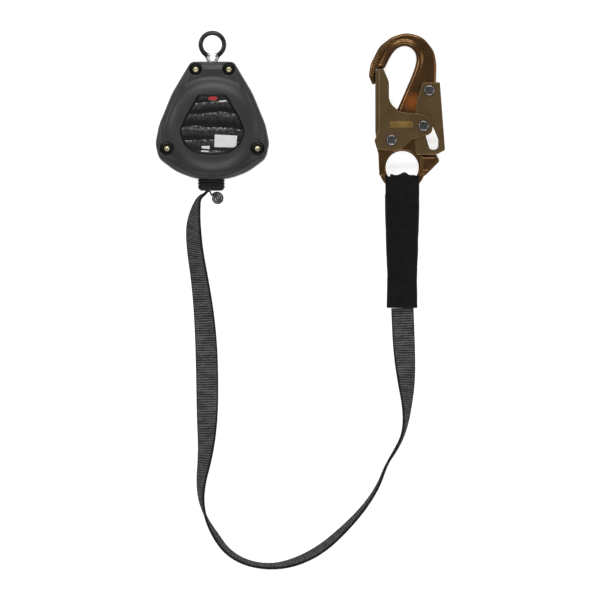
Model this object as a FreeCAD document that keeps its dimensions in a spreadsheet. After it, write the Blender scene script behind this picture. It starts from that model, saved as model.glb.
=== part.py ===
import FreeCAD, Part
import math
import os
import re
import types

import Sketcher
from FreeCAD import Placement, Rotation, Vector

# A self retracting lifeline lying on its back: a two-shell housing with a sprung webbing drum, a swivel
# eye, a run of flat webbing on the surface, and a double locking snap hook in a sleeved end loop.
# Millimetres. The origin is the drum axis at the rear face, +Z out of the front label, +Y to the eye.

doc = FreeCAD.newDocument("SelfRetractingLifeline")

# ---------------------------------------------------------------- driving dimensions
SIZES = [
    # housing
    ("cover_wall", 2.5, "thickness of the cover walls"),
    ("parting", 28.0, "height of the joint between the covers, and of the swivel axis"),
    ("rim_top", 50.3, "height of the front cover's rim"),
    ("dome_top", 56.0, "height of the front cover's dome"),
    ("dome_radius", 42.5, "radius of the dome at its foot"),
    ("dome_crown", 37.5, "radius of the dome's flat top"),
    ("label_depth", 0.6, "depth of the label recesses"),
    ("top_screw_x", 14.1, "upper screws, distance from the middle"),
    ("top_screw_y", 49.2, "upper screws, height"),
    ("low_screw_x", 38.4, "lower screws, distance from the middle"),
    ("low_screw_y", -18.0, "lower screws, height"),
    ("top_sink", 5.25, "radius of the upper counterbores"),
    ("low_sink", 5.8, "radius of the lower counterbores"),
    ("sink_floor", 40.0, "height of the counterbore floors"),
    ("boss_wall", 1.2, "wall round a counterbore"),
    ("screw_radius", 1.8, "screw thread radius"),
    ("screw_head", 2.9, "screw head radius"),
    ("insert_radius", 3.0, "threaded insert outer radius"),
    # swivel
    ("eye_y", 70.5, "centre of the swivel eye"),
    ("eye_bore", 7.9, "radius of the hole in the eye"),
    ("eye_radius", 12.0, "outer radius of the eye"),
    ("eye_thick", 5.2, "thickness of the eye"),
    ("eye_soft", 1.2, "eased outer edges of the eye"),
    ("shank_radius", 4.4, "radius of the swivel shank"),
    # drum and brake
    ("frame_rear", 13.3, "rear face of the load frame's rear plate"),
    ("frame_front", 45.1, "rear face of the load frame's front plate"),
    ("plate_thick", 2.5, "load frame plate"),
    ("shaft_radius", 5.0, "main shaft"),
    ("run_gap", 0.05, "radial clearance of a running fit"),
    ("hub_radius", 11.0, "drum hub"),
    ("bush_radius", 7.0, "outer radius of the drum bushes"),
    ("drum_rear", 16.3, "rear face of the drum"),
    ("drum_front", 40.3, "front face of the drum"),
    ("flange_radius", 34.5, "drum flanges"),
    ("flange_thick", 2.0, "drum flanges"),
    ("ring_radius", 35.4, "ratchet ring outer radius"),
    ("tooth_root", 33.4, "ratchet ring, radius between teeth"),
    ("tooth_tip", 30.9, "ratchet ring, radius of the tooth tips"),
    ("tooth_count", 12, "teeth in the ratchet ring"),
    ("pawl_pivot", 21.0, "distance of the pawl pins from the drum axis"),
    ("pawl_pin", 1.5, "radius of the pawl pins"),
    ("case_radius", 33.0, "power spring case"),
    ("case_wall", 1.2, "power spring case"),
    ("arbor_radius", 7.6, "power spring arbor"),
    ("pin_radius", 1.2, "web guide pins"),
    # webbing
    ("web_width", 19.0, "webbing, three quarters of an inch"),
    ("web_thick", 2.0, "webbing thickness"),
    ("web_mid", 28.3, "height of the webbing's middle in the housing"),
    ("web_exit_x", -4.3, "where the webbing leaves the nozzle"),
    ("web_exit_y", -53.5, "mouth of the nozzle"),
    # hook
    ("hook_x", 161.3, "centre of the hook's eye"),
    ("hook_y", -33.7, "centre of the hook's eye"),
    ("hook_z", 10.0, "middle plane of the hook"),
    ("hook_half", 4.6, "half the thickness of the forged body"),
    ("hook_eye", 14.0, "radius of the hook's eye hole"),
    ("bar_radius", 3.05, "section radius of the eye's lower bar"),
    ("lever_inner", 4.8, "lever plates, inner face from the middle plane"),
    ("lever_outer", 6.3, "lever plates, outer face"),
    ("gate_inner", 6.5, "gate plates, inner face, outside the lever"),
    ("gate_outer", 8.1, "gate plates, outer face"),
    ("head_radius", 4.85, "rivet heads"),
    ("rivet_radius", 2.5, "pivot rivets"),
    ("link_radius", 2.1, "link rivet"),
    ("loop_inner", 6.0, "inside radius of the webbing loop round the bar"),
    ("sleeve_wall", 1.8, "thickness of the protective sleeve over the loop"),
    ("sleeve_end_y", -152.9, "lower end of the protective sleeve"),
]

sheet = doc.addObject("Spreadsheet::Sheet", "Sizes")
for row, (alias, value, note) in enumerate(SIZES, start=1):
    sheet.set("A%d" % row, note)
    sheet.set("B%d" % row, str(value))
    sheet.setAlias("B%d" % row, alias)
doc.recompute()
ALIASES = {alias for alias, _, _ in SIZES}
S = types.SimpleNamespace(**{alias: float(sheet.get(alias)) for alias in ALIASES})
PARTS = []


# ---------------------------------------------------------------- helpers
def formula(text):
    """An expression in aliases, written for the spreadsheet: "eye_y - 2" gives "Sizes.eye_y - 2"."""
    return re.sub(r"[a-z_]+", lambda word: ("Sizes." if word[0] in ALIASES else "") + word[0], str(text))


def bind(thing, **values):
    """Binds properties to formulas. An underscore pair stands for a dot."""
    for name, text in values.items():
        thing.setExpression(name.replace("__", "."), formula(text))
    return thing


def put(thing, x=0, y=0, z=0, turn=None):
    """Places an object: the turn is fixed, and the place is bound to the sheet."""
    thing.Placement = Placement(Vector(0, 0, 0), turn or Rotation())
    return bind(thing, Placement__Base__x=x, Placement__Base__y=y, Placement__Base__z=z)


ALONG_Y = Rotation(Vector(1, 0, 0), -90)


def cylinder(name, radius, height, x=0, y=0, z=0, turn=None):
    made = bind(doc.addObject("Part::Cylinder", name), Radius=radius, Height=height)
    return put(made, x, y, z, turn)


def box(name, x0, x1, y0, y1, z0, z1):
    sizes = {"Length": (x0, x1), "Width": (y0, y1), "Height": (z0, z1)}
    made = doc.addObject("Part::Box", name)
    for side, (low, high) in sizes.items():
        bind(made, **{side: "(%s) - (%s)" % (high, low)})
    return put(made, x0, y0, z0)


def cone(name, radius_low, radius_high, height, x=0, y=0, z=0, turn=None):
    made = doc.addObject("Part::Cone", name)
    bind(made, Radius1=radius_low, Radius2=radius_high, Height=height)
    return put(made, x, y, z, turn)


def fuse(name, pieces):
    made = doc.addObject("Part::MultiFuse", name)
    made.Shapes = pieces
    return made


def group(name, pieces):
    """Separate solids that share one node."""
    made = doc.addObject("Part::Compound", name)
    made.Links = pieces
    return made


def cut(name, base, tools):
    made = doc.addObject("Part::Cut", name)
    made.Base = base
    made.Tool = tools[0] if len(tools) == 1 else fuse(name + "Tools", tools)
    return made


def done(thing, label):
    thing.Label = label
    PARTS.append(thing)
    return thing


def feature(name, shape):
    made = doc.addObject("Part::Feature", name)
    made.Shape = shape
    made.Placement = shape.Placement
    return made


def new_body(name):
    return doc.addObject("PartDesign::Body", name)


def sketch(owner, geometry, lift=0, role="XY_Plane"):
    """A sketch on one of its body's origin planes, lifted off it."""
    made = owner.newObject("Sketcher::SketchObject", owner.Name + "Sketch")
    plane = next(o for o in owner.Origin.OriginFeatures if o.Role == role)
    made.AttachmentSupport = [(plane, "")]
    made.MapMode = "FlatFace"
    bind(made, AttachmentOffset__Base__z=lift)
    made.addGeometry(geometry, False)
    return made


def circles(owner, places, radius, lift=0):
    """A sketch of equal circles, whose radius is bound to the sheet."""
    flat = [Part.Circle(Vector(x, y, 0), Vector(0, 0, 1), 1.0 + n) for n, (x, y) in enumerate(places)]
    made = sketch(owner, flat, lift)
    for n in range(len(flat)):
        made.addConstraint(Sketcher.Constraint("Radius", n, 5.0))
        made.setExpression("Constraints[%d]" % n, formula(radius))
    return made


def pad(owner, profile, length):
    made = owner.newObject("PartDesign::Pad", owner.Name + "Pad")
    made.Profile = profile
    return bind(made, Length=length)


def pocket(owner, profile, length, upward):
    """Removes the profile, from its plane upward or downward, and checks that it did remove something."""
    doc.recompute()
    before = owner.Shape.Volume
    made = owner.newObject("PartDesign::Pocket", owner.Name + "Pocket")
    made.Profile = profile
    made.Reversed = upward
    bind(made, Length=length)
    doc.recompute()
    if not owner.Shape.Volume < before - 0.01:
        raise ValueError("%s: a pocket removed nothing" % owner.Name)
    return made


def rounded(corners):
    """Edges of a closed outline from (x, y, radius) corners: straight sides joined by tangent arcs."""
    count = len(corners)
    ends, arcs = [], []
    for n in range(count):
        here = Vector(corners[n][0], corners[n][1], 0)
        back = Vector(corners[n - 1][0], corners[n - 1][1], 0) - here
        ahead = Vector(corners[(n + 1) % count][0], corners[(n + 1) % count][1], 0) - here
        room = min(back.Length, ahead.Length)
        back.normalize()
        ahead.normalize()
        half = back.getAngle(ahead) / 2
        reach = min(corners[n][2] / math.tan(half), 0.49 * room) if corners[n][2] else 0
        if reach < 1e-6:
            ends.append((here, here))
            arcs.append(None)
            continue
        first, last = here + back * reach, here + ahead * reach
        radius = reach * math.tan(half)
        middle = (back + ahead).normalize()
        centre = here + middle * (radius / math.sin(half))
        ends.append((first, last))
        arcs.append(Part.Arc(first, centre - middle * radius, last))
    edges = []
    for n in range(count):
        if arcs[n]:
            edges.append(arcs[n])
        start, stop = ends[n][1], ends[(n + 1) % count][0]
        if (stop - start).Length > 1e-6:
            edges.append(Part.LineSegment(start, stop))
    return edges


def inset(corners, wall):
    """The same outline moved inward by a wall, with its corner radii reduced. Corners run clockwise."""
    count = len(corners)
    lines = []
    for n in range(count):
        a, b = corners[n], corners[(n + 1) % count]
        along = Vector(b[0] - a[0], b[1] - a[1], 0).normalize()
        inward = Vector(along.y, -along.x, 0)
        lines.append((Vector(a[0], a[1], 0) + inward * wall, along))
    moved = []
    for n in range(count):
        (p, u), (q, v) = lines[n - 1], lines[n]
        share = ((q - p).x * v.y - (q - p).y * v.x) / (u.x * v.y - u.y * v.x)
        meet = p + u * share
        moved.append((meet.x, meet.y, max(corners[n][2] - wall, 0.5)))
    return moved


def mirrored(half):
    """A clockwise outline from its right half, listed from the top down."""
    left = [(-x, y, r) for x, y, r in reversed(half) if x > 0]
    return half + left


def solid_between(corners, low, high, x=0, y=0):
    """A prism over a rounded outline, for shapes that are made as one piece."""
    wire = Part.Wire([e.toShape() for e in rounded(corners)])
    face = Part.Face(wire)
    face.translate(Vector(x, y, low))
    return face.extrude(Vector(0, 0, high - low))


def at_hook(corners):
    """Hook outlines are drawn from the centre of its eye."""
    return [(x + S.hook_x, y + S.hook_y, r) for x, y, r in corners]


def plate(name, corners, low, high):
    """A flat plate with a rounded outline, from one height to another, as a body of its own."""
    made = new_body(name)
    pad(made, sketch(made, rounded(corners), low), "(%s) - (%s)" % (high, low))
    return made


def spiral_band(centre, first, turns, pitch, thick, low, high):
    """A rolled strip seen on edge. Its half turns are half circles about two centres, half a pitch apart:
    the upper halves about the given centre, and the lower halves about the other."""
    inner, outer = [], []
    for n in range(2 * turns):
        radius = first + n * pitch / 2
        side = 1 if n % 2 == 0 else -1
        cx = centre[0] if side > 0 else centre[0] - pitch / 2
        for edges, r in ((inner, radius - thick / 2), (outer, radius + thick / 2)):
            places = ((cx - side * r, centre[1]), (cx, centre[1] + side * r), (cx + side * r, centre[1]))
            edges.append(Part.Arc(*[Vector(x, y, low) for x, y in places]).toShape())
    caps = [
        Part.LineSegment(inner[0].Vertexes[0].Point, outer[0].Vertexes[0].Point).toShape(),
        Part.LineSegment(inner[-1].Vertexes[-1].Point, outer[-1].Vertexes[-1].Point).toShape(),
    ]
    wire = Part.Wire(Part.__sortEdges__(inner + outer + caps))
    return Part.Face(wire).extrude(Vector(0, 0, high - low))


def polar(radius, angle):
    return Vector(radius * math.cos(angle), radius * math.sin(angle), 0)


def coil(radius, wire, pitch, turns, x, y, z, steps=16):
    """A closed solid of square wire wound about Z, as many short straight lengths."""
    stations = []
    for n in range(turns * steps + 1):
        angle = 2 * math.pi * n / steps
        place = polar(radius, angle) + Vector(x, y, z + pitch * n / steps)
        ahead = Vector(-math.sin(angle), math.cos(angle), pitch / (2 * math.pi * radius)).normalize()
        stations.append((place, ahead, 0))
    return ribbon(stations, wire, wire)


def ribbon(stations, width, thick):
    """A flat strap through stations of (place, direction, tilt): tilt 0 lies flat, 90 stands on edge."""
    wires = []
    for place, ahead, tilt in stations:
        side = Vector(0, 0, 1).cross(ahead).normalize()
        up = ahead.cross(side).normalize()
        angle = math.radians(tilt)
        across = side * math.cos(angle) + up * math.sin(angle)
        normal = ahead.cross(across).normalize()
        half_w, half_t = across * (width / 2), normal * (thick / 2)
        corners = [place + half_w + half_t, place - half_w + half_t, place - half_w - half_t]
        corners.append(place + half_w - half_t)
        wires.append(Part.makePolygon(corners + corners[:1]))
    return Part.makeLoft(wires, True, True)


def tilt_between(a, b, share):
    return a + (b - a) * share


def cord_stations(route, arc_steps=2):
    """Stations along straight runs joined by tangent arcs, whose radius is 0.45 of the shorter run over
    the tangent of half the turn. Prints each arc's radius."""
    places = [Vector(*point[:3]) for point in route]
    tilts = [point[3] for point in route]
    stations = [(places[0], (places[1] - places[0]).normalize(), tilts[0])]
    radii = []
    for n in range(1, len(places) - 1):
        back, ahead = places[n - 1] - places[n], places[n + 1] - places[n]
        reach = 0.45 * min(back.Length, ahead.Length)
        from_tilt = tilt_between(tilts[n], tilts[n - 1], reach / back.Length)
        to_tilt = tilt_between(tilts[n], tilts[n + 1], reach / ahead.Length)
        back.normalize()
        ahead.normalize()
        half_turn = (math.pi - back.getAngle(ahead)) / 2
        radius = reach / math.tan(half_turn)
        radii.append(radius)
        middle = (back + ahead).normalize()
        centre = places[n] + middle * (radius / math.cos(half_turn))
        first, last = places[n] + back * reach, places[n] + ahead * reach
        arc = Part.Arc(first, centre - middle * radius, last)
        for step in range(arc_steps + 1):
            share = step / arc_steps
            at = arc.FirstParameter + (arc.LastParameter - arc.FirstParameter) * share
            direction = arc.tangent(at)[0]
            stations.append((arc.value(at), direction, tilt_between(from_tilt, to_tilt, share)))
    stations.append((places[-1], (places[-1] - places[-2]).normalize(), tilts[-1]))
    print("webbing arc radii:", " ".join("%.0f" % r for r in radii))
    return stations


# ---------------------------------------------------------------- housing
COVER = mirrored([
    (18.3, 56.1, 5),
    (34.5, 29.0, 60),
    (45.6, 2.0, 50),
    (48.6, -14.0, 16),
    (45.6, -26.6, 12),
    (31.0, -37.5, 40),
    (16.0, -43.4, 50),
    (0.0, -44.9, 80),
])
WINDOW = mirrored([(11.8, 27.8, 5), (23.0, 9.0, 40), (28.0, -2.5, 10), (24.5, -14.5, 14), (14.5, -22.3, 16),
                   (0.0, -23.7, 35)])
TOP_SCREWS = [(side * S.top_screw_x, S.top_screw_y) for side in (-1, 1)]
LOW_SCREWS = [(side * S.low_screw_x, S.low_screw_y) for side in (-1, 1)]
SCREWS = TOP_SCREWS + LOW_SCREWS
NOZZLE_LEFT, NOZZLE_RIGHT = -12.0, 10.2
NOZZLE_LOW, NOZZLE_HIGH = 14.0, 42.0


def cover_openings(name, low, high):
    """The web exit and the swivel hole, cut from a cover."""
    return [
        box(name + "WebExit", NOZZLE_LEFT, NOZZLE_RIGHT, -52, -39.5, low, high),
        cylinder(name + "SwivelHole", "shank_radius + 0.6", 12, 0, 48, "parting", ALONG_Y),
    ]


def rear_cover():
    shell = new_body("RearShell")
    pad(shell, sketch(shell, rounded(COVER)), "parting")
    pocket(shell, sketch(shell, rounded(inset(COVER, S.cover_wall)), "cover_wall"), "parting", True)
    pocket(shell, sketch(shell, rounded(WINDOW)), "label_depth", True)
    bosses = new_body("RearBosses")
    feet = circles(bosses, SCREWS, "insert_radius + 2", "cover_wall - 0.5")
    pad(bosses, feet, "parting - cover_wall + 0.5")
    whole = fuse("RearWhole", [shell, bosses])
    bores = new_body("RearBores")
    pad(bores, circles(bores, SCREWS, "insert_radius", 10), "parting - 9")
    tools = [bores] + cover_openings("Rear", NOZZLE_LOW, "parting + 1")
    done(cut("RearCover", whole, tools), "rear_cover")


def front_cover():
    shell = new_body("FrontShell")
    pad(shell, sketch(shell, rounded(COVER), "parting"), "rim_top - parting")
    dome = cone("DomeOuter", "dome_radius", "dome_crown", "dome_top - rim_top", z="rim_top")
    inner = new_body("FrontRoom")
    room = sketch(inner, rounded(inset(COVER, S.cover_wall)), "parting - 1")
    pad(inner, room, "rim_top - cover_wall - parting + 1")
    dome_room = cone("DomeRoom", "dome_radius - 3", "dome_crown - 2", "dome_top - cover_wall - 44", z=44)
    hollow = cut("FrontHollow", fuse("FrontOuter", [shell, dome]), [inner, dome_room])
    posts = []
    for name, places, radius in (("Top", TOP_SCREWS, "top_sink"), ("Low", LOW_SCREWS, "low_sink")):
        post = new_body(name + "Posts")
        pad(post, circles(post, places, radius + " + boss_wall", "parting"), "rim_top - parting - 0.5")
        posts.append(post)
    tools = []
    for name, places, radius in (("Top", TOP_SCREWS, "top_sink"), ("Low", LOW_SCREWS, "low_sink")):
        sink = new_body(name + "Sinks")
        pad(sink, circles(sink, places, radius, "sink_floor"), "dome_top - sink_floor + 1")
        tools.append(sink)
    bores = new_body("FrontBores")
    pad(bores, circles(bores, SCREWS, "screw_radius + 0.2", "parting - 1"), "sink_floor - parting + 2")
    recess = new_body("LabelRecess")
    pad(recess, sketch(recess, rounded(WINDOW), "dome_top - label_depth"), 2)
    tools += [bores, recess] + cover_openings("Front", "parting - 1", NOZZLE_HIGH)
    done(cut("FrontCover", fuse("FrontWhole", [hollow] + posts), tools), "front_cover")


def labels():
    inner = inset(WINDOW, 0.25)
    done(plate("FrontLabel", inner, "dome_top - label_depth", "dome_top - 0.2"), "front_label")
    done(plate("RearLabel", inner, 0.2, "label_depth"), "rear_label")
    panel = [(1.2, -5.3, 0.8), (21.2, -5.3, 0.8), (21.2, -16.9, 0.8), (1.2, -16.9, 0.8)]
    done(plate("LabelPanel", panel, "dome_top - 0.2", "dome_top - 0.05"), "label_panel")
    mark = new_body("LabelMark")
    oval = Part.Ellipse(Vector(0.8, 24.0, 0), 4.2, 2.1)
    pad(mark, sketch(mark, [oval], "dome_top - 0.2"), 0.15)
    done(mark, "label_mark")


def screws():
    shanks = new_body("ScrewShanks")
    pad(shanks, circles(shanks, SCREWS, "screw_radius", 12), "sink_floor - 12")
    heads = new_body("ScrewHeads")
    pad(heads, circles(heads, SCREWS, "screw_head", "sink_floor"), 2.4)
    slots = [box("Drive%d" % n, x - 2, x + 2, y - 0.4, y + 0.4, "sink_floor + 1.4", 44)
             for n, (x, y) in enumerate(SCREWS)]
    done(cut("Screws", fuse("ScrewWhole", [shanks, heads]), slots), "housing_screws")
    sleeves = new_body("Inserts")
    pad(sleeves, circles(sleeves, SCREWS, "insert_radius", 16), "parting - 16.2")
    holes = new_body("InsertHoles")
    pad(holes, circles(holes, SCREWS, "screw_radius", 15), "parting - 14")
    done(cut("ScrewInserts", sleeves, [holes]), "screw_inserts")


# ---------------------------------------------------------------- webbing inside the housing
WIND_FIRST = S.hub_radius + 0.2 + S.web_thick / 2
WIND_TURNS = 7
WIND_PITCH = S.web_thick + 0.1
WIND_OUTER = WIND_FIRST + WIND_TURNS * WIND_PITCH
BEND = Vector(S.web_exit_x, -37.0, 0)


def tangent_point():
    """Where the webbing leaves the winding, on the left side, for the bend at the guide pins."""
    radius = WIND_OUTER + S.web_thick + 0.4
    toward = math.atan2(BEND.y, BEND.x)
    angle = toward - math.acos(radius / BEND.Length)
    return Vector(radius * math.cos(angle), radius * math.sin(angle), 0)


def inner_web():
    leave = tangent_point()
    slope = (BEND - leave).normalize()
    bend_in = BEND - slope * 3
    last = Vector(S.web_exit_x, S.web_exit_y + 0.5, 0)
    route = [leave + slope * 0.5, bend_in, BEND + Vector(0, -3, 0), last]
    ahead = [slope, slope, Vector(0, -1, 0), Vector(0, -1, 0)]
    lift = Vector(0, 0, S.web_mid)
    stations = [(place + lift, direction, 90) for place, direction in zip(route, ahead)]
    done(feature("InnerWebRun", ribbon(stations, S.web_width, S.web_thick)), "inner_web_run")


def guide_pins():
    gap = S.web_thick / 2 + S.pin_radius + 0.3
    slope = (BEND - tangent_point()).normalize()
    left_y = BEND.y - gap * (1 - abs(slope.y)) / slope.x
    places = [(BEND.x - gap - 1.1, left_y - 0.1), (BEND.x + gap, BEND.y - 1.6)]
    pins = [cylinder("GuidePin%d" % n, "pin_radius", "frame_front - frame_rear - plate_thick", x, y,
                     "frame_rear + plate_thick") for n, (x, y) in enumerate(places)]
    done(group("GuidePins", pins), "web_guide_pins")


def nozzle():
    block = box("NozzleBlock", NOZZLE_LEFT, NOZZLE_RIGHT, "web_exit_y", -40.7, NOZZLE_LOW, NOZZLE_HIGH)
    ribs = [box("NozzleRib%d" % n, NOZZLE_LEFT - 0.7, NOZZLE_RIGHT + 0.7, y - 0.8, y + 0.8,
                NOZZLE_LOW - 0.7, NOZZLE_HIGH + 0.7) for n, y in enumerate((-46.1, -48.8, -51.5))]
    flange = box("NozzleFlange", -12.7, 10.9, -40.8, -40.2, NOZZLE_LOW - 1.5, NOZZLE_HIGH + 1.5)
    slot = box("NozzleSlot", "web_exit_x - 1.9", "web_exit_x + 1.9", -60, -39, 17.8, 38.8)
    window = box("NozzleWindow", "web_exit_x - 6", "web_exit_x + 6", -41.5, -39, 15, 42)
    done(cut("Nozzle", fuse("NozzleWhole", [block, flange] + ribs), [slot, window]), "web_nozzle")


# ---------------------------------------------------------------- frame, shaft, brake
FRAME = mirrored([(7.4, 51.6, 1), (7.4, 30, 8), (22, 18, 12), (25.5, 0, 12), (20, -19, 12), (5.5, -31, 6),
                  (5.0, -40.0, 2)])


def load_frame():
    shaft_hole = [(0, 0)]
    rear = plate("FrameRear", FRAME, "frame_rear", "frame_rear + plate_thick")
    front = plate("FrameFront", FRAME, "frame_front", "frame_front + plate_thick")
    bridge = box("FrameBridge", -7.4, 7.4, 49.1, 51.6, "frame_rear", "frame_front + plate_thick")
    tongue = [box("FrameTongue%d" % n, -11, 3.5, -40.1, -30, z, z + " + plate_thick")
              for n, z in enumerate(("frame_rear", "frame_front"))]
    whole = fuse("FrameWhole", [rear, front, bridge] + tongue)
    rear_hole = new_body("FrameRearHole")
    pad(rear_hole, circles(rear_hole, shaft_hole, "arbor_radius + 0.9", 12), 6)
    front_hole = cylinder("FrameFrontHole", "shaft_radius", 8, z=42)
    shank_hole = cylinder("FrameShankHole", "shank_radius + run_gap", 8, 0, 46, "parting", ALONG_Y)
    done(cut("LoadFrame", whole, [rear_hole, front_hole, shank_hole]), "load_frame")


def shaft_parts():
    rod = cylinder("ShaftRod", "shaft_radius", 49.2, z=3.6)
    head = cylinder("ShaftHead", 9, 1.2, z=2.6)
    done(fuse("MainShaft", [rod, head]), "main_shaft")
    nut = doc.addObject("Part::Prism", "NutBlank")
    nut.Polygon = 6
    bind(nut, Circumradius=8.6, Height=3.2)
    put(nut, z=49.2)
    done(cut("ShaftNut", nut, [cylinder("NutBore", "shaft_radius", 6, z=48)]), "shaft_nut")
    springs = []
    for n, (low, high, z) in enumerate(((10.5, 7.5, 47.6), (7.5, 10.5, 48.4))):
        outer = cone("Disc%dOuter" % n, low, high, 0.8, z=z)
        springs.append(cut("Disc%d" % n, outer, [cylinder("Disc%dBore" % n, "shaft_radius", 3, z=47)]))
    done(group("DiscSprings", springs), "disc_springs")
    lining = cylinder("LiningBlank", 20, "frame_front - 44.65", z=44.65)
    done(cut("BrakeDisc", lining, [cylinder("LiningBore", "shaft_radius + 1", 3, z=43)]), "brake_disc")


def spring_parts():
    blank = cylinder("CaseBlank", "case_radius", "frame_rear - 3.8", z=3.8)
    room = cylinder("CaseRoom", "case_radius - case_wall", 12, z=5.0)
    bore = cylinder("CaseBore", "shaft_radius", 6, z=1)
    done(cut("SpringCase", blank, [room, bore]), "spring_case")
    done(feature("PowerSpring", spiral_band((0, 0), 8.8, 9, 2.4, 0.7, 5.6, 12.6)), "power_spring")


def drum_parts():
    hub = cylinder("HubBlank", "hub_radius", "drum_front - drum_rear", z="drum_rear")
    bore = cylinder("HubBore", "bush_radius", 40, z=10)
    anchor_hole = cylinder("AnchorHole", 1.6, 40, 0, 9.0, 10)
    done(cut("DrumHub", hub, [bore, anchor_hole]), "drum_hub")
    done(cylinder("AnchorPin", 1.6, "drum_front - drum_rear", 0, 9.0, "drum_rear"), "web_anchor_pin")
    pivots = [(S.pawl_pivot, 0), (-S.pawl_pivot, 0)]
    for label, z in (("drum_rear_flange", "drum_rear"), ("drum_front_flange", "drum_front - flange_thick")):
        front = "front" in label
        disc = new_body("FrontFlange" if front else "RearFlange")
        pad(disc, circles(disc, [(0, 0)], "flange_radius", z), "flange_thick")
        pocket(disc, circles(disc, [(0, 0)], "hub_radius", z), "flange_thick", True)
        if front:
            pocket(disc, circles(disc, pivots, "pawl_pin", z), "flange_thick", True)
        done(disc, label)
    bushes = []
    for n, z in enumerate((S.drum_rear, S.drum_front - 5)):
        blank = cylinder("Bush%dBlank" % n, "bush_radius", 5, z=z)
        hole = cylinder("Bush%dBore" % n, "shaft_radius + run_gap", 9, z=z - 2)
        bushes.append(cut("Bush%d" % n, blank, [hole]))
    done(group("DrumBushes", bushes), "drum_bushes")
    blank = cylinder("ArborBlank", "arbor_radius", "drum_rear - 5.4", z=5.4)
    hole = cylinder("ArborBore", "shaft_radius + run_gap", 20, z=2)
    done(cut("SpringArbor", blank, [hole]), "spring_arbor")
    low, high = S.web_mid - S.web_width / 2, S.web_mid + S.web_width / 2
    wound = spiral_band((0, 0), WIND_FIRST, WIND_TURNS, WIND_PITCH, S.web_thick, low, high)
    done(feature("WoundWebbing", wound), "wound_webbing")
    pins = [cylinder("PawlPin%d" % n, "pawl_pin", 4.6, x, y, "drum_front - flange_thick")
            for n, (x, y) in enumerate(pivots)]
    done(group("PawlPins", pins), "pawl_pins")


PAWL = [(-2.6, -5.2, 1.2), (-3.2, 0, 3), (3.2, 9.4, 3), (5.2, 13.2, 0.3), (6.8, 12.0, 0.3), (5.4, 4, 6),
        (3.4, -1.5, 3), (1.4, -5.2, 1.2)]


def pawls():
    for label, turn in (("pawl_a", 0), ("pawl_b", 180)):
        name = label.replace("_", "").capitalize()
        blank = solid_between(PAWL, 40.8, 42.9, S.pawl_pivot, 0)
        blank = blank.cut(Part.makeCylinder(S.pawl_pin + S.run_gap, 9, Vector(S.pawl_pivot, 0, 38)))
        blank.rotate(Vector(0, 0, 0), Vector(0, 0, 1), turn)
        done(feature(name, blank), label)
    coils = []
    for turn in (0, 180):
        spring = coil(0.9, 0.35, 0.8, 5, 0, 0, 0)
        spring.rotate(Vector(0, 0, 0), Vector(0, 1, 0), 90)
        spring.translate(Vector(13.6, -4.2, 41.9))
        spring.rotate(Vector(0, 0, 0), Vector(0, 0, 1), turn)
        coils.append(spring)
    done(feature("PawlSprings", Part.makeCompound(coils)), "pawl_springs")


def ratchet_ring():
    count = int(S.tooth_count)
    pitch = 2 * math.pi / count
    edges = []
    steep, slope = math.radians(27), math.radians(35)
    for n in range(count):
        tip = [polar(S.tooth_tip, steep + n * pitch), polar(S.tooth_tip, slope + n * pitch)]
        root = [polar(S.tooth_root, slope + n * pitch + 0.06), polar(S.tooth_root, steep + (n + 1) * pitch)]
        edges.append(Part.LineSegment(tip[0], tip[1]))
        edges.append(Part.LineSegment(tip[1], root[0]))
        middle = polar(S.tooth_root, (slope + steep + pitch + 0.06) / 2 + n * pitch)
        edges.append(Part.Arc(root[0], middle, root[1]))
        edges.append(Part.LineSegment(root[1], polar(S.tooth_tip, steep + (n + 1) * pitch)))
    blank = cylinder("RingBlank", "ring_radius", 3.95, z=40.65)
    room = new_body("RingRoom")
    pad(room, sketch(room, edges, 39), 4.2)
    bore = cylinder("RingBore", "shaft_radius + run_gap", 9, z=38)
    done(cut("RatchetRing", blank, [room, bore]), "ratchet_ring")


# ---------------------------------------------------------------- swivel eye
def swivel():
    middle, waist = "eye_radius", "eye_radius - eye_soft"
    low, high = "parting - eye_thick / 2", "parting + eye_thick / 2"
    ring = [
        cylinder("EyeRing", middle, "eye_thick - 2 * eye_soft", 0, "eye_y", low + " + eye_soft"),
        cone("EyeRimLow", waist, middle, "eye_soft", 0, "eye_y", low),
        cone("EyeRimTop", middle, waist, "eye_soft", 0, "eye_y", high + " - eye_soft"),
    ]
    neck = cone("EyeNeck", "shank_radius + 0.4", 2.4, 5, 0, 55.9 + 0.9, "parting", ALONG_Y)
    shank = cylinder("EyeShank", "shank_radius", 15, 0, 43.6, "parting", ALONG_Y)
    bore = cylinder("EyeBore", "eye_bore", 20, 0, "eye_y", 18)
    done(cut("SwivelEye", fuse("EyeFuse", ring + [neck, shank]), [bore]), "swivel_eye")
    blank = cylinder("SwivelNutBlank", 6.8, 4.4, 0, 43.6, "parting", ALONG_Y)
    bore = cylinder("SwivelNutBore", "shank_radius", 9, 0, 42, "parting", ALONG_Y)
    done(cut("SwivelNut", blank, [bore]), "swivel_nut")
    blank = cylinder("WasherBlank", 7.0, 0.9, 0, 48.15, "parting", ALONG_Y)
    bore = cylinder("WasherBore", "shank_radius + run_gap", 9, 0, 44, "parting", ALONG_Y)
    done(cut("SwivelWasher", blank, [bore]), "swivel_washer")


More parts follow.
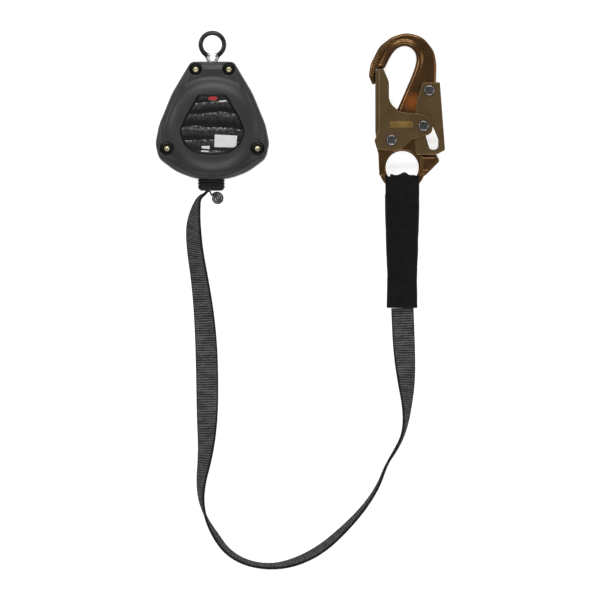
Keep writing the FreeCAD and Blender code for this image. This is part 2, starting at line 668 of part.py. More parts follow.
# ---------------------------------------------------------------- webbing on the surface
# Points of the webbing's middle line, chosen by hand, each with the strap's tilt in degrees.
ROUTE = [
    (-4.3, -53.5, 28.3, 90),
    (-5.6, -56.0, 28.3, 89),
    (-11.2, -59.4, 28.0, 84),
    (-14.2, -70.0, 26.5, 67),
    (-16.2, -85.0, 23.0, 50),
    (-15.0, -104.0, 16.4, 47),
    (-11.2, -127.0, 10.4, 43),
    (-8.0, -151.0, 6.9, 33),
    (-5.7, -178.0, 4.6, 20),
    (-4.6, -208.0, 3.0, 9),
    (-4.4, -240.0, 4.4, 20),
    (-5.0, -266.0, 7.6, 43),
    (-6.9, -284.0, 8.9, 56),
    (-9.7, -300.0, 9.5, 67),
    (-10.0, -316.0, 9.7, 79),
    (-6.0, -331.5, 9.7, 91),
    (1.8, -346.0, 9.7, 103),
    (12.6, -361.2, 9.7, 102),
    (29.5, -370.8, 9.7, 100),
    (51.0, -373.8, 9.7, 100),
    (72.2, -369.2, 9.6, 108),
    (93.3, -358.2, 9.5, 110),
    (112.6, -341.0, 9.6, 105),
    (129.0, -323.2, 9.7, 98),
    (141.0, -305.0, 9.7, 94),
    (147.8, -286.5, 9.7, 90),
    (155.6, -274.5, 9.7, 86),
    (161.8, -262.5, 9.7, 86),
    (164.6, -249.5, 9.6, 79),
    (165.4, -235.0, 9.1, 66),
    (164.9, -217.0, 7.2, 44),
    (163.4, -194.0, 4.6, 21),
    (162.2, -172.0, 3.3, 7),
    (161.6, -153.2, 3.3, 0),
]


def lifeline():
    stations = cord_stations(ROUTE)
    made = ribbon(stations, S.web_width, S.web_thick)
    length = sum((b[0] - a[0]).Length for a, b in zip(stations, stations[1:]))
    print("webbing length %.0f mm, volume over section times length %.3f"
          % (length, made.Volume / (S.web_width * S.web_thick * length)))
    done(feature("LifelineWebbing", made), "lifeline_webbing")
    low, high = S.web_mid - S.web_width / 2, S.web_mid + S.web_width / 2
    roll = spiral_band((4.4, -58.9), 1.6, 2, 1.9, 1.5, low, high)
    tail = Part.makeBox(4.8, 1.5, S.web_width, Vector(-3.6, -57.5, low))
    done(feature("WebStopRoll", roll.fuse(tail).removeSplitter()), "web_stop_roll")


# ---------------------------------------------------------------- hook
LOOP_Y = S.hook_y - 15.2
GATE_PIVOT = Vector(-9.0, 23.3, 0)
LINK = Vector(18.2, 35.3, 0)
LEVER_PIVOT = Vector(23.0, 65.5, 0)


def hook_body():
    outline = at_hook([
        (-19.6, -7.0, 0.8), (-20.4, 12.0, 4), (-24.2, 24.5, 3), (-17.0, 28.6, 4), (-12.0, 37.0, 6),
        (-3.4, 51.0, 12), (5.5, 72.3, 12), (11.0, 86.0, 12), (12.4, 97.0, 9), (1.7, 105.0, 10),
        (-8.0, 98.5, 8), (-15.4, 83.6, 1), (-23.0, 83.6, 0.8), (-23.0, 71.2, 0.6), (-25.4, 70.2, 1),
        (-28.6, 78.0, 5), (-27.0, 88.0, 12), (-19.5, 103.0, 16), (-9.0, 111.2, 16), (4.0, 115.3, 22),
        (18.0, 111.0, 20), (27.5, 99.0, 18), (29.3, 88.0, 20), (29.0, 73.5, 1), (28.2, 62.0, 3),
        (14.6, 41.0, 4), (14.6, 11.0, 1), (29.2, 11.0, 2), (32.4, 5.6, 2.5), (19.7, -7.0, 1.5),
    ])
    forging = plate("Forging", outline, "hook_z - hook_half", "hook_z + hook_half")
    bar = bind(doc.addObject("Part::Torus", "EyeBar"), Radius1="hook_eye + bar_radius", Radius2="bar_radius")
    put(bar, "hook_x", "hook_y", "hook_z")
    hole = cylinder("HookEyeHole", "hook_eye", 20, "hook_x", "hook_y", 0)
    lower = box("LowerHalf", "hook_x - 30", "hook_x + 30", "hook_y - 30", "hook_y - 3", 0, 20)
    bar_low = doc.addObject("Part::Common", "LowerBar")
    bar_low.Base, bar_low.Tool = bar, lower
    whole = fuse("HookWhole", [cut("ForgingHoled", forging, [hole]), bar_low])
    tools = []
    for name, spot, radius in (("Gate", GATE_PIVOT, 5.4), ("Lever", LEVER_PIVOT, 4.1)):
        place = at_pivot(spot)
        tools.append(cylinder(name + "Bore", "rivet_radius", 20, *place, 0))
        tools.append(cylinder(name + "Pocket", radius, 6, *place, "hook_z + 0.4"))
    done(cut("HookBody", whole, tools), "hook_body")


def at_pivot(spot):
    """Formulas for a pivot's place, given from the hook's eye."""
    return "hook_x + (%s)" % spot.x, "hook_y + (%s)" % spot.y


def rivet(name, label, spot, radius, grip):
    """A headed pin through the hook, both heads alike. grip is the height under the heads."""
    x, y = at_pivot(spot)
    shank = cylinder(name + "Shank", radius, "2 * (%s)" % grip, x, y, "hook_z - (%s)" % grip)
    heads = [
        cone(name + "HeadTop", "head_radius", "head_radius - 0.9", 1.6, x, y, "hook_z + (%s)" % grip),
        cone(name + "HeadLow", "head_radius - 0.9", "head_radius", 1.6, x, y, "hook_z - 1.6 - (%s)" % grip),
    ]
    done(fuse(name, [shank] + heads), label)


def gate_washers():
    """Rings on the gate's pivot that fill the space of the lever's plates, above and below the body."""
    x, y = at_pivot(GATE_PIVOT)
    rings = []
    for n, low in enumerate(("hook_z + hook_half", "hook_z - gate_inner + 0.1")):
        blank = cylinder("GateWasher%d" % n, 6.2, "gate_inner - hook_half - 0.1", x, y, low)
        bore = cylinder("GateRingBore%d" % n, "rivet_radius", 20, x, y, 0)
        rings.append(cut("GateRing%d" % n, blank, [bore]))
    done(group("GateWashers", rings), "gate_washers")


def gate():
    outline = at_hook([
        (-22.9, 83.0, 1), (-16.1, 84.3, 1), (-11.2, 73, 8), (-11.2, 55, 12), (-1.5, 47.2, 12), (18, 45.4, 10),
        (26.8, 41.0, 6), (25.2, 28.8, 5.5), (8.8, 23.8, 9), (-1, 15.0, 10), (-9, 14.0, 4), (-20.4, 15.2, 1),
        (-22.9, 30, 20),
    ])
    plates = [
        plate("GateTop", outline, "hook_z + gate_inner", "hook_z + gate_outer"),
        plate("GateLow", outline, "hook_z - gate_outer", "hook_z - gate_inner"),
    ]
    web = plate("GateWeb", at_hook([(-22.4, 81.4, 0.5), (-20.8, 81.4, 0), (-20.8, 30, 0), (-22.4, 30, 0.5)]),
                "hook_z - gate_outer + 0.2", "hook_z + gate_outer - 0.2")
    bore = cylinder("GateBore", "rivet_radius + run_gap", 20, *at_pivot(GATE_PIVOT), 0)
    link = cylinder("LinkBore", "link_radius", 20, *at_pivot(LINK), 0)
    done(cut("Gate", fuse("GateWhole", plates + [web]), [bore, link]), "hook_gate")
    bar = at_hook([(-10.7, 39.3, 0.4), (9.4, 39.3, 0.4), (9.4, 33.9, 0.4), (-10.7, 33.9, 0.4)])
    done(plate("GateBar", bar, "hook_z + gate_outer", "hook_z + gate_outer + 0.2"), "gate_bar")


def lever():
    outline = at_hook([
        (17.1, 72.4, 1.5), (32.2, 72.6, 1), (36.6, 14.8, 0.8), (29.0, 11.6, 2), (11.4, 10.6, 2),
        (10.0, 24.0, 6), (11.6, 54.0, 12),
    ])
    plates = [
        plate("LeverTop", outline, "hook_z + lever_inner", "hook_z + lever_outer"),
        plate("LeverLow", outline, "hook_z - lever_outer", "hook_z - lever_inner"),
    ]
    spine = at_hook([(30.4, 72.0, 0), (32.0, 72.0, 0.4), (36.2, 15.6, 0.4), (34.6, 15.6, 0)])
    web = plate("LeverWeb", spine, "hook_z - lever_outer + 0.2", "hook_z + lever_outer - 0.2")
    tools = [cylinder("LeverBoreCut", "rivet_radius + run_gap", 20, *at_pivot(LEVER_PIVOT), 0)]
    slot = at_hook([(13.7, 38.6, 3), (24.6, 38.6, 3), (30.8, 24.0, 5), (30.6, 15.2, 4), (23.4, 15.2, 3),
                    (20.0, 27.0, 6)])
    tools.append(plate("LeverSlot", slot, 0, 20))
    done(cut("LockLever", fuse("LeverWhole", plates + [web]), tools), "lock_lever")


def hook_springs():
    x, y = S.hook_x, S.hook_y
    gate_coil = coil(4.2, 0.9, 1.0, 3, x + GATE_PIVOT.x, y + GATE_PIVOT.y, S.hook_z + 0.95)
    done(feature("GateSpring", gate_coil), "gate_spring")
    lever_coil = coil(3.3, 0.7, 0.8, 4, x + LEVER_PIVOT.x, y + LEVER_PIVOT.y, S.hook_z + 0.85)
    done(feature("LeverSpring", lever_coil), "lever_spring")


# ---------------------------------------------------------------- sewn end loop and sleeve
def side_profile(edges, half_width):
    """A prism across the hook, over an outline of (y, z) edges."""
    face = Part.Face(Part.Wire([e.toShape() for e in edges]))
    face.translate(Vector(S.hook_x - half_width, 0, 0))
    return face.extrude(Vector(2 * half_width, 0, 0))


def yz(y, z):
    return Vector(0, y, z)


def stadium(radius, tail):
    """A closed outline: a half circle over the bar, and the points of its lower end."""
    top, low = yz(LOOP_Y, S.hook_z + radius), yz(LOOP_Y, S.hook_z - radius)
    edges = [Part.Arc(low, yz(LOOP_Y + radius, S.hook_z), top)]
    corners = [top] + [yz(*p) for p in tail] + [low]
    return edges + [Part.LineSegment(a, b) for a, b in zip(corners, corners[1:])]


def end_loop():
    thick = S.web_thick
    outer = S.loop_inner + thick
    end, meet = S.sleeve_end_y + 3, -90.0
    low, split = 2.3, 2.3 + thick
    outer_tail = [(meet, split + thick), (end, split + thick), (end, low), (meet, low)]
    inner_tail = [(meet, split + 0.1), (meet, split)]
    whole = side_profile(stadium(outer, outer_tail), S.web_width / 2)
    room = side_profile(stadium(S.loop_inner, inner_tail), S.web_width)
    done(feature("WebEndLoop", whole.cut(room)), "web_end_loop")
    rows = [Part.makeBox(16, 0.7, 0.3, Vector(S.hook_x - 8, -100 - 5 * n, split + thick)) for n in range(9)]
    done(feature("LoopStitching", Part.makeCompound(rows)), "loop_stitching")
    top, under = split + thick + 0.5, low - 0.6
    room_tail = [(meet, top), (end - 8, top), (end - 8, under), (meet, under)]
    sleeve(outer, side_profile(stadium(outer + 0.15, room_tail), S.web_width / 2 + 0.3))


def sleeve(loop_outer, cavity):
    """The sewn sleeve: a narrow end over the loop in the hook's eye, then a wide body round the legs."""
    radius = loop_outer + S.sleeve_wall
    narrow = side_profile(stadium(radius, [(-60.0, 18.6), (-60.0, 0.9)]), 10.0)
    sections = []
    for y, half, low, high in ((-56.0, 14.5, 0.3, 19.4), (-76.0, 14.5, 0.2, 15.6), (-96.0, 13.7, 0.2, 11.6),
                               (-125.0, 12.7, 0.2, 10.0), (S.sleeve_end_y, 12.9, 0.2, 8.6)):
        left, right = S.hook_x - half, S.hook_x + half
        spots = [(left, y, low), (right, y, low), (right, y, high), (left, y, high), (left, y, low)]
        sections.append(Part.makePolygon([Vector(*spot) for spot in spots]))
    wide = Part.makeLoft(sections, True, True)
    ends_open = side_profile(stadium(loop_outer + 0.15, [(-56.0, 16.5), (-56.0, 3.5)]), 20.0)
    room = Part.makeBox(24, 30, 9, Vector(S.hook_x - 12, -86, 4.4))
    made = narrow.fuse(wide).cut(cavity).cut(ends_open)
    made = made.cut(room.common(side_profile(stadium(loop_outer, [(-90, 7.5), (-90, 3)]), 12.0)))
    done(feature("ProtectiveSleeve", made.removeSplitter()), "protective_sleeve")


# ---------------------------------------------------------------- build, check and write
for make in (rear_cover, front_cover, labels, screws, nozzle, inner_web, guide_pins, load_frame, shaft_parts,
             spring_parts, drum_parts, pawls, ratchet_ring, swivel, lifeline, hook_body, gate, lever,
             gate_washers, hook_springs, end_loop):
    make()
rivet("GateRivet", "gate_rivet", GATE_PIVOT, "rivet_radius", "gate_outer + 0.1")
rivet("LinkRivet", "link_rivet", LINK, "link_radius", "gate_outer + 0.1")
rivet("LeverRivet", "lever_rivet", LEVER_PIVOT, "rivet_radius", "lever_outer + 0.1")

doc.recompute()
for thing in doc.Objects:
    if {"Invalid", "Error"} & set(thing.State):
        raise ValueError("%s (%s) did not build" % (thing.Name, thing.Label))
os.makedirs("parts", exist_ok=True)
for thing in PARTS:
    shape = thing.Shape
    if shape.isNull() or not shape.isValid() or not shape.Solids:
        raise ValueError("%s has no valid solid" % thing.Label)
    shape.exportStep("parts/%s.step" % thing.Label)
    size = shape.BoundBox
    print("%-20s solids %2d  volume %9.1f  %6.1f %6.1f %6.1f" % (
        thing.Label, len(shape.Solids), shape.Volume, size.XLength, size.YLength, size.ZLength))
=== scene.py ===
from math import copysign, cos, exp, pi, radians, sin, sqrt, tan

import bmesh
import bpy
from mathutils import Matrix, Vector, noise


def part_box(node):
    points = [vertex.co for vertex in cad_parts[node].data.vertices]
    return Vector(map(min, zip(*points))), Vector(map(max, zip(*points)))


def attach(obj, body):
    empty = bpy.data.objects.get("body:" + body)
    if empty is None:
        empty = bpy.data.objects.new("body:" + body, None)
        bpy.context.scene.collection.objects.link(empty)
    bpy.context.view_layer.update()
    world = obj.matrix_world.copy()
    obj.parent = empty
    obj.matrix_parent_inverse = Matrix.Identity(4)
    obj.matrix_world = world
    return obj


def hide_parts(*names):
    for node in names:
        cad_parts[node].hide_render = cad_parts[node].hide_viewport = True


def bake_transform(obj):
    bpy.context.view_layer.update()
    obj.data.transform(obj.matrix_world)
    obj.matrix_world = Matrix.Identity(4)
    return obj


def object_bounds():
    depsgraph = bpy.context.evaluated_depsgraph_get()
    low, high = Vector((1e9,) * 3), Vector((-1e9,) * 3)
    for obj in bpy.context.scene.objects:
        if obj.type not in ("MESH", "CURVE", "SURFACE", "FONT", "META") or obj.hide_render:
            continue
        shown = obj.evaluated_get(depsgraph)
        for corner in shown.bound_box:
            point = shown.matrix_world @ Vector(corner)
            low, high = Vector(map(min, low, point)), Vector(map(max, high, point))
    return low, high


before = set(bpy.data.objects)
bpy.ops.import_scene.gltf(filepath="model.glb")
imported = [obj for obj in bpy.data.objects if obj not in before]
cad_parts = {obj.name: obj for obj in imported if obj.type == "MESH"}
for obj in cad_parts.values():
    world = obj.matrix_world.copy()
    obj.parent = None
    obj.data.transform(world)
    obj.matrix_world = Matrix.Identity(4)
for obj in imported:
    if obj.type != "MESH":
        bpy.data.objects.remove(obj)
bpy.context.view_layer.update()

# A self retracting lifeline lying on its back, seen from above. Metres, in the CAD model's frame:
# +Z out of the housing's label, +Y towards the swivel eye, the origin on the drum axis.

scene = bpy.context.scene
scene.view_settings.view_transform = "Standard"
TAU = 2 * pi


# ---------- camera
VIEW_CENTRE = Vector((0.0744, -0.1464, 0.0))
VIEW_WIDTH = 0.51
CAMERA_HEIGHT = 10.0


def add_object(name, data):
    made = bpy.data.objects.new(name, data)
    scene.collection.objects.link(made)
    return made


def add_camera():
    data = bpy.data.cameras.new("camera")
    data.sensor_width = 36
    data.clip_end = 100
    data.lens = data.sensor_width * (CAMERA_HEIGHT - 0.02) / VIEW_WIDTH
    camera = add_object("camera", data)
    camera.location = VIEW_CENTRE + Vector((0, 0, CAMERA_HEIGHT))
    scene.camera = camera


add_camera()


# ---------- outlines
def rounded(corners, steps=8):
    """Points of a closed outline from (x, y, radius) corners, with arcs that touch both sides."""
    points = []
    for n, (x, y, radius) in enumerate(corners):
        here = Vector((x, y))
        back = Vector(corners[n - 1][:2]) - here
        ahead = Vector(corners[(n + 1) % len(corners)][:2]) - here
        half = back.angle(ahead) / 2
        reach = min(radius / tan(half), 0.49 * min(back.length, ahead.length))
        if reach < 1e-6:
            points.append(here)
            continue
        back.normalize()
        ahead.normalize()
        radius = reach * tan(half)
        centre = here + (back + ahead).normalized() * (radius / sin(half))
        first, last = here + back * reach - centre, here + ahead * reach - centre
        turn = first.angle_signed(last)
        for step in range(steps + 1):
            points.append(centre + Matrix.Rotation(-turn * step / steps, 2) @ first)
    return points


def spaced(points, gap):
    """The same closed outline with points about one gap apart."""
    made = []
    for n, here in enumerate(points):
        ahead = points[(n + 1) % len(points)]
        count = max(1, round((ahead - here).length / gap))
        made += [here.lerp(ahead, step / count) for step in range(count)]
    return made


def grown(points, amount):
    """The closed outline moved outward by an amount, or inward if it is negative."""
    area = sum(a.x * b.y - a.y * b.x for a, b in zip(points, points[1:] + points[:1]))
    side = 1 if area > 0 else -1
    made = []
    for n, here in enumerate(points):
        along = (points[(n + 1) % len(points)] - points[n - 1]).normalized()
        made.append(here + Vector((along.y, -along.x)) * side * amount)
    return made


def thousandths(*rows):
    """Rows of numbers given in thousandths of a metre."""
    return [tuple(value / 1000 for value in row) for row in rows]


def mirrored(half):
    return half + [(-x, y, r) for x, y, r in reversed(half) if x > 0]


def polar(radius, angle, height=0.0):
    return Vector((radius * cos(angle), radius * sin(angle), height))


def heading(path, n):
    """The direction of a line of points at its nth one."""
    return (path[min(n + 1, len(path) - 1)] - path[max(n - 1, 0)]).normalized()


def reach_of(outline, angle):
    """How far a closed outline round the origin is from it, at an angle."""
    ray = polar(1, angle).xy
    for a, b in zip(outline, outline[1:] + outline[:1]):
        side_a, side_b = ray.cross(a), ray.cross(b)
        if side_a <= 0 < side_b or side_b <= 0 < side_a:
            meet = a.lerp(b, side_a / (side_a - side_b))
            if meet.dot(ray) > 0:
                return meet.length
    return outline[0].length


# ---------- meshes
def mesh_object(name, points, faces, smooth=True):
    mesh = bpy.data.meshes.new(name)
    mesh.from_pydata([tuple(p) for p in points], [], faces)
    if smooth:
        mesh.shade_smooth()
    return add_object(name, mesh)


def loft(name, rings, closed=False):
    """A skin over rings of points. Its two ends are capped, or joined to each other if closed."""
    count = len(rings[0])
    points = [p for ring in rings for p in ring]
    faces = []
    for r in range(len(rings) if closed else len(rings) - 1):
        low, high = r * count, (r + 1) % len(rings) * count
        for n in range(count):
            m = (n + 1) % count
            faces.append((low + n, low + m, high + m, high + n))
    if not closed:
        faces += [tuple(reversed(range(count))), tuple(range(len(points) - count, len(points)))]
    made = mesh_object(name, points, faces)
    work = bmesh.new()
    work.from_mesh(made.data)
    bmesh.ops.recalc_face_normals(work, faces=work.faces)
    work.to_mesh(made.data)
    work.free()
    return made


def slab(name, outline, levels, spot=(0, 0, 0)):
    """A plate over an outline. levels are (growth of the outline, height) from the bottom up."""
    x, y, z = spot
    return loft(name, [[Vector((p.x + x, p.y + y, height + z)) for p in grown(outline, growth)]
                       for growth, height in levels])


def edged(low, high, chamfer):
    """Levels of a plate between two heights, with its edges eased."""
    return [(-chamfer, low), (-0.3 * chamfer, low + 0.3 * chamfer), (0, low + chamfer),
            (0, high - chamfer), (-0.3 * chamfer, high - 0.3 * chamfer), (-chamfer, high)]


def lathe(name, profile, spot=(0, 0, 0), turn=None, steps=48):
    """A turned solid: profile is (radius, height) from one end to the other."""
    rings = []
    for radius, height in profile:
        ring = [polar(radius, TAU * n / steps, height) for n in range(steps)]
        rings.append([(turn @ p if turn else p) + Vector(spot) for p in ring])
    return loft(name, rings)


def rod(name, radius, low, high, x, y, steps=48):
    return lathe(name, [(radius, low), (radius, high)], (x, y, 0), steps=steps)


def block(name, low, high):
    (x0, y0, z0), (x1, y1, z1) = low, high
    return slab(name, [Vector(p) for p in ((x0, y0), (x1, y0), (x1, y1), (x0, y1))], [(0, z0), (0, z1)])


def tube(name, path, radius, flat=1.0, steps=16):
    """A round bar along level points, tapered at both ends. flat scales its height."""
    rings = []
    for n, here in enumerate(path):
        along = heading(path, n)
        side = Vector((along.y, -along.x, 0)).normalized()
        size = radius * (0.55 if n in (0, len(path) - 1) else 1)
        angles = [TAU * step / steps for step in range(steps)]
        rings.append([here + side * (size * cos(a)) + Vector((0, 0, size * flat * sin(a)))
                      for a in angles])
    return loft(name, rings)


def evaluated(made):
    """A new mesh of an object with its modifiers or its curve worked out."""
    graph = bpy.context.evaluated_depsgraph_get()
    return bpy.data.meshes.new_from_object(made.evaluated_get(graph))


def settle(made):
    """Applies the object's modifiers."""
    mesh = evaluated(made)
    made.modifiers.clear()
    made.data = mesh
    return made


def combine(base, others, operation):
    """Adds or cuts the other solids, which are used up."""
    for other in others:
        change = base.modifiers.new(operation, "BOOLEAN")
        change.object = other
        change.operation = operation
        change.solver = "EXACT"
    settle(base)
    for other in others:
        bpy.data.objects.remove(other)
    return base


def joined(name, parts):
    """One object from several meshes that may pass through each other."""
    points, faces = [], []
    for part in parts:
        start = len(points)
        points += [v.co.copy() for v in part.data.vertices]
        faces += [tuple(start + n for n in face.vertices) for face in part.data.polygons]
        bpy.data.objects.remove(part)
    return mesh_object(name, points, faces)


def cast(made, grain, rounds):
    """Runs a shape of overlapping solids into one skin with softened edges, as a casting or moulding has."""
    skin = made.modifiers.new("skin", "REMESH")
    skin.mode = "VOXEL"
    skin.voxel_size = grain
    ease = made.modifiers.new("ease", "SMOOTH")
    ease.factor = 0.5
    ease.iterations = rounds
    settle(made)
    made.data.shade_smooth()
    return made


def dress(made, material):
    made.data.materials.clear()
    made.data.materials.append(MATERIALS[material])


def finish_piece(made, body, material, *nodes, slot=None):
    """Gives a mesh its material and its body, and hides the CAD nodes that it stands for. slot is not used."""
    dress(made, material)
    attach(made, body)
    if nodes:
        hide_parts(*nodes)


def second_material(made, material, chosen):
    """Gives the faces whose centre is chosen a second material."""
    made.data.materials.append(MATERIALS[material])
    for face in made.data.polygons:
        face.material_index = int(chosen(face.center))


# ---------- materials
class Shader:
    """A material under construction: nodes are added by kind and linked by name."""

    def __init__(self, name, **sockets):
        self.material = bpy.data.materials.new(name)
        self.material.use_nodes = True
        self.tree = self.material.node_tree
        self.surface = self.tree.nodes["Principled BSDF"]
        for socket, value in sockets.items():
            self.surface.inputs[socket.replace("_", " ")].default_value = value

    def add(self, kind, **settings):
        node = self.tree.nodes.new("ShaderNode" + kind)
        for key, value in settings.items():
            if hasattr(node, key):
                setattr(node, key, value)
            else:
                node.inputs[key.replace("_", " ")].default_value = value
        return node

    def link(self, start, end, out=0, into=0):
        self.tree.links.new(start.outputs[out], end.inputs[into])
        return end

    def place(self, scale=(1, 1, 1), source="Object", turn=0):
        mapping = self.add("Mapping")
        mapping.inputs["Scale"].default_value = scale
        mapping.inputs["Rotation"].default_value[2] = turn
        return self.link(self.add("TexCoord"), mapping, source, "Vector")

    def noise(self, scale, detail=4, roughness=0.6, place=None):
        cloud = self.add("TexNoise", Scale=scale, Detail=detail, Roughness=roughness)
        return self.link(place or self.place(), cloud, 0, "Vector")

    def wave(self, place, **settings):
        return self.link(place, self.add("TexWave", **settings), 0, "Vector")

    def spread(self, source, *limits):
        names = ("From_Min", "From_Max", "To_Min", "To_Max")
        return self.link(source, self.add("MapRange", **dict(zip(names, limits))))

    def join(self, operation, first, second=0.5):
        """A Math node over the values of two nodes, or of one node and a number."""
        node = self.add("Math", operation=operation)
        for socket, value in zip(node.inputs, (first, second)):
            if isinstance(value, float):
                socket.default_value = value
            else:
                self.tree.links.new(value.outputs.get("Fac", value.outputs[0]), socket)
        return node

    def mix(self, share, under, over):
        """A colour laid over another colour's output by a share."""
        node = self.add("Mix", data_type="RGBA", blend_type="MIX")
        self.tree.links.new(share.outputs[0], node.inputs["Factor"])
        self.tree.links.new(under, node.inputs["A"])
        node.inputs["B"].default_value = over
        return node.outputs["Result"]

    def ramp(self, source, stops, out=0):
        ramp = self.add("ValToRGB")
        for n, (position, colour) in enumerate(stops):
            stop = ramp.color_ramp.elements[n] if n < 2 else ramp.color_ramp.elements.new(position)
            stop.position = position
            stop.color = colour if isinstance(colour, tuple) else (colour, colour, colour, 1)
        return self.link(source, ramp, out, 0)

    def colour(self, node):
        self.link(node, self.surface, 0, "Base Color")

    def roughness(self, node, low, high):
        self.link(self.spread(node, 0.0, 1.0, low, high), self.surface, 0, "Roughness")

    def bump(self, node, strength, distance, under=None):
        bump = self.link(node, self.add("Bump", Strength=strength, Distance=distance), 0, "Height")
        if under:
            self.link(under, bump, 0, "Normal")
        self.link(bump, self.surface, 0, "Normal")
        return bump


def grey(value, blue=1.0):
    return (value, value, value * blue, 1)


def moulded(name, low, high, base_rough, grain=900, depth=0.00012, shine=0.38):
    """Moulded plastic: fine leather-like grain, faint colour variation and rubbed patches."""
    made = Shader(name, Specular_IOR_Level=shine)
    made.colour(made.ramp(made.noise(28, 5), [(0.3, low), (0.7, high)]))
    made.roughness(made.noise(60, 6), base_rough - 0.06, base_rough + 0.09)
    fine = made.link(made.place(), made.add("TexVoronoi", Scale=grain, feature="F1"), 0, "Vector")
    soft = made.bump(fine, 0.35, depth)
    made.bump(made.noise(220, 3), 0.25, depth, under=soft)
    return made.material


def metal(name, low, high, rough, streaks=(1, 1, 1), wear=None, depth=0.00002, painted_reflection=None, even=False):
    """Plated or forged metal: cloudy plating, streaks along one way, fine pits and worn edges, and an optional
    warm reflection painted into the colour, given by its place, how far it reaches and its colour."""
    made = Shader(name, Metallic=1.0)
    tone = made.ramp(made.noise(70, 6), [(0.32, low), (0.68, high)]).outputs["Color"]
    if wear:
        edge = made.ramp(made.add("NewGeometry"), [(0.51, 0.0), (0.62, 1.0)], "Pointiness")
        tone = made.mix(edge, tone, wear)
    # A warm reflection painted into the colour, fading out from its place.
    if painted_reflection:
        x, y, z, reach, warm = painted_reflection
        place = made.place((1 / reach, 1 / reach, 1 / reach))
        place.inputs["Location"].default_value = (-x / reach, -y / reach, -z / reach)
        ball = made.link(place, made.add("TexGradient", gradient_type="SPHERICAL"), 0, "Vector")
        tone = made.mix(made.ramp(ball, [(0.0, 0.0), (0.7, 1.0)], 1), tone, warm)
    made.tree.links.new(tone, made.surface.inputs["Base Color"])
    lines = made.noise(500, 3, place=made.place(streaks))
    apart = 0.02 if even else 0.08
    made.roughness(lines, rough - apart, rough + apart)
    first = made.bump(lines, 0.25, depth)
    made.bump(made.noise(1400, 2), 0.2, depth, under=first)
    return made.material


def woven(name, dark, light, across, along, depth, rough=0.8):
    """Woven strap: diagonal ribs from two crossed waves on the strap's own UV, in metres."""
    made = Shader(name, Specular_IOR_Level=0.15)
    plane = made.place((1, 1, 1), "UV")
    warp, weft = (made.wave(plane, Scale=scale, Distortion=bend, Detail=1.0, Detail_Scale=2.0,
                            bands_direction=way)
                  for scale, bend, way in ((across, 1.0, "X"), (along, 1.4, "Y")))
    fuzz = made.noise(900, 3)
    blend = made.join("ADD", made.join("MULTIPLY", warp, weft), made.join("MULTIPLY", fuzz))
    across_strap = made.link(plane, made.add("SeparateXYZ"))
    # Painted shade: the strap's colour darkens towards its selvedges.
    selvedge = made.spread(made.join("ABSOLUTE", across_strap), 0.008, 0.0093, 1.0, 0.3)
    bands = made.noise(240, 3, place=made.place((0.3, 1, 1), "UV"))
    uneven = made.spread(bands, 0.38, 0.62, 0.75, 1.25)
    tone = made.join("MULTIPLY", made.join("MULTIPLY", blend, selvedge), uneven)
    made.colour(made.ramp(tone, [(0.28, dark), (0.9, light)]))
    made.roughness(fuzz, rough - 0.08, rough + 0.1)
    made.bump(blend, 0.8, depth)
    return made.material


def cloth(name, dark, light, scale, depth, rough=0.85):
    """Dense cloth with no UV of its own: a fine crossed weave in object space, with lint."""
    made = Shader(name, Sheen_Weight=0.04, Sheen_Roughness=0.4, Specular_IOR_Level=0.12)
    waves = [made.wave(made.place(turn=turn), Scale=scale, Distortion=0.8, Detail=1.0)
             for turn in (0.0, pi / 2)]
    weave = made.join("ADD", *waves)
    lint = made.noise(140, 6)
    made.colour(made.ramp(lint, [(0.35, dark), (0.75, light)]))
    made.roughness(lint, rough - 0.1, rough + 0.08)
    made.bump(made.noise(60, 4), 0.3, 0.0008, under=made.bump(weave, 0.5, depth))
    return made.material


def label_film(name):
    """The front label's glossy black film with a few plain wavy grey bands and no lettering."""
    made = Shader(name, Roughness=0.12, Specular_IOR_Level=0.4)
    wave = made.wave(made.place((0.5, 1.0, 1.0), turn=0.12), Scale=30.0, Distortion=6.0, Detail=2.0,
                     Detail_Scale=1.2, bands_direction="Y", wave_profile="SAW")
    specks = made.noise(380, 7, 0.75)
    both = made.join("MULTIPLY", made.ramp(wave, [(0.25, 0.0), (0.95, 1.0), (0.8, 0.62)], 1),
                     made.ramp(specks, [(0.4, 0.08), (0.6, 1.0)]))
    tones = [(0.0, grey(0.003)), (1.0, grey(0.34)), (0.4, grey(0.035)), (0.72, grey(0.1))]
    made.colour(made.ramp(both, tones))
    made.roughness(specks, 0.08, 0.22)
    made.bump(made.noise(30, 2), 0.15, 0.0006)
    return made.material


def painted(name, colour, second, rough):
    made = Shader(name)
    made.colour(made.ramp(made.noise(160, 5), [(0.3, colour), (0.75, second)]))
    made.roughness(made.noise(300, 3), rough - 0.05, rough + 0.08)
    made.bump(made.noise(600, 2), 0.2, 0.00003)
    return made.material


# Of metal that is evenly smooth: its streaks, wear, depth of pits, painted reflection and evenness.
SMOOTH = ((1, 1, 1), None, 0.000001, None, True)
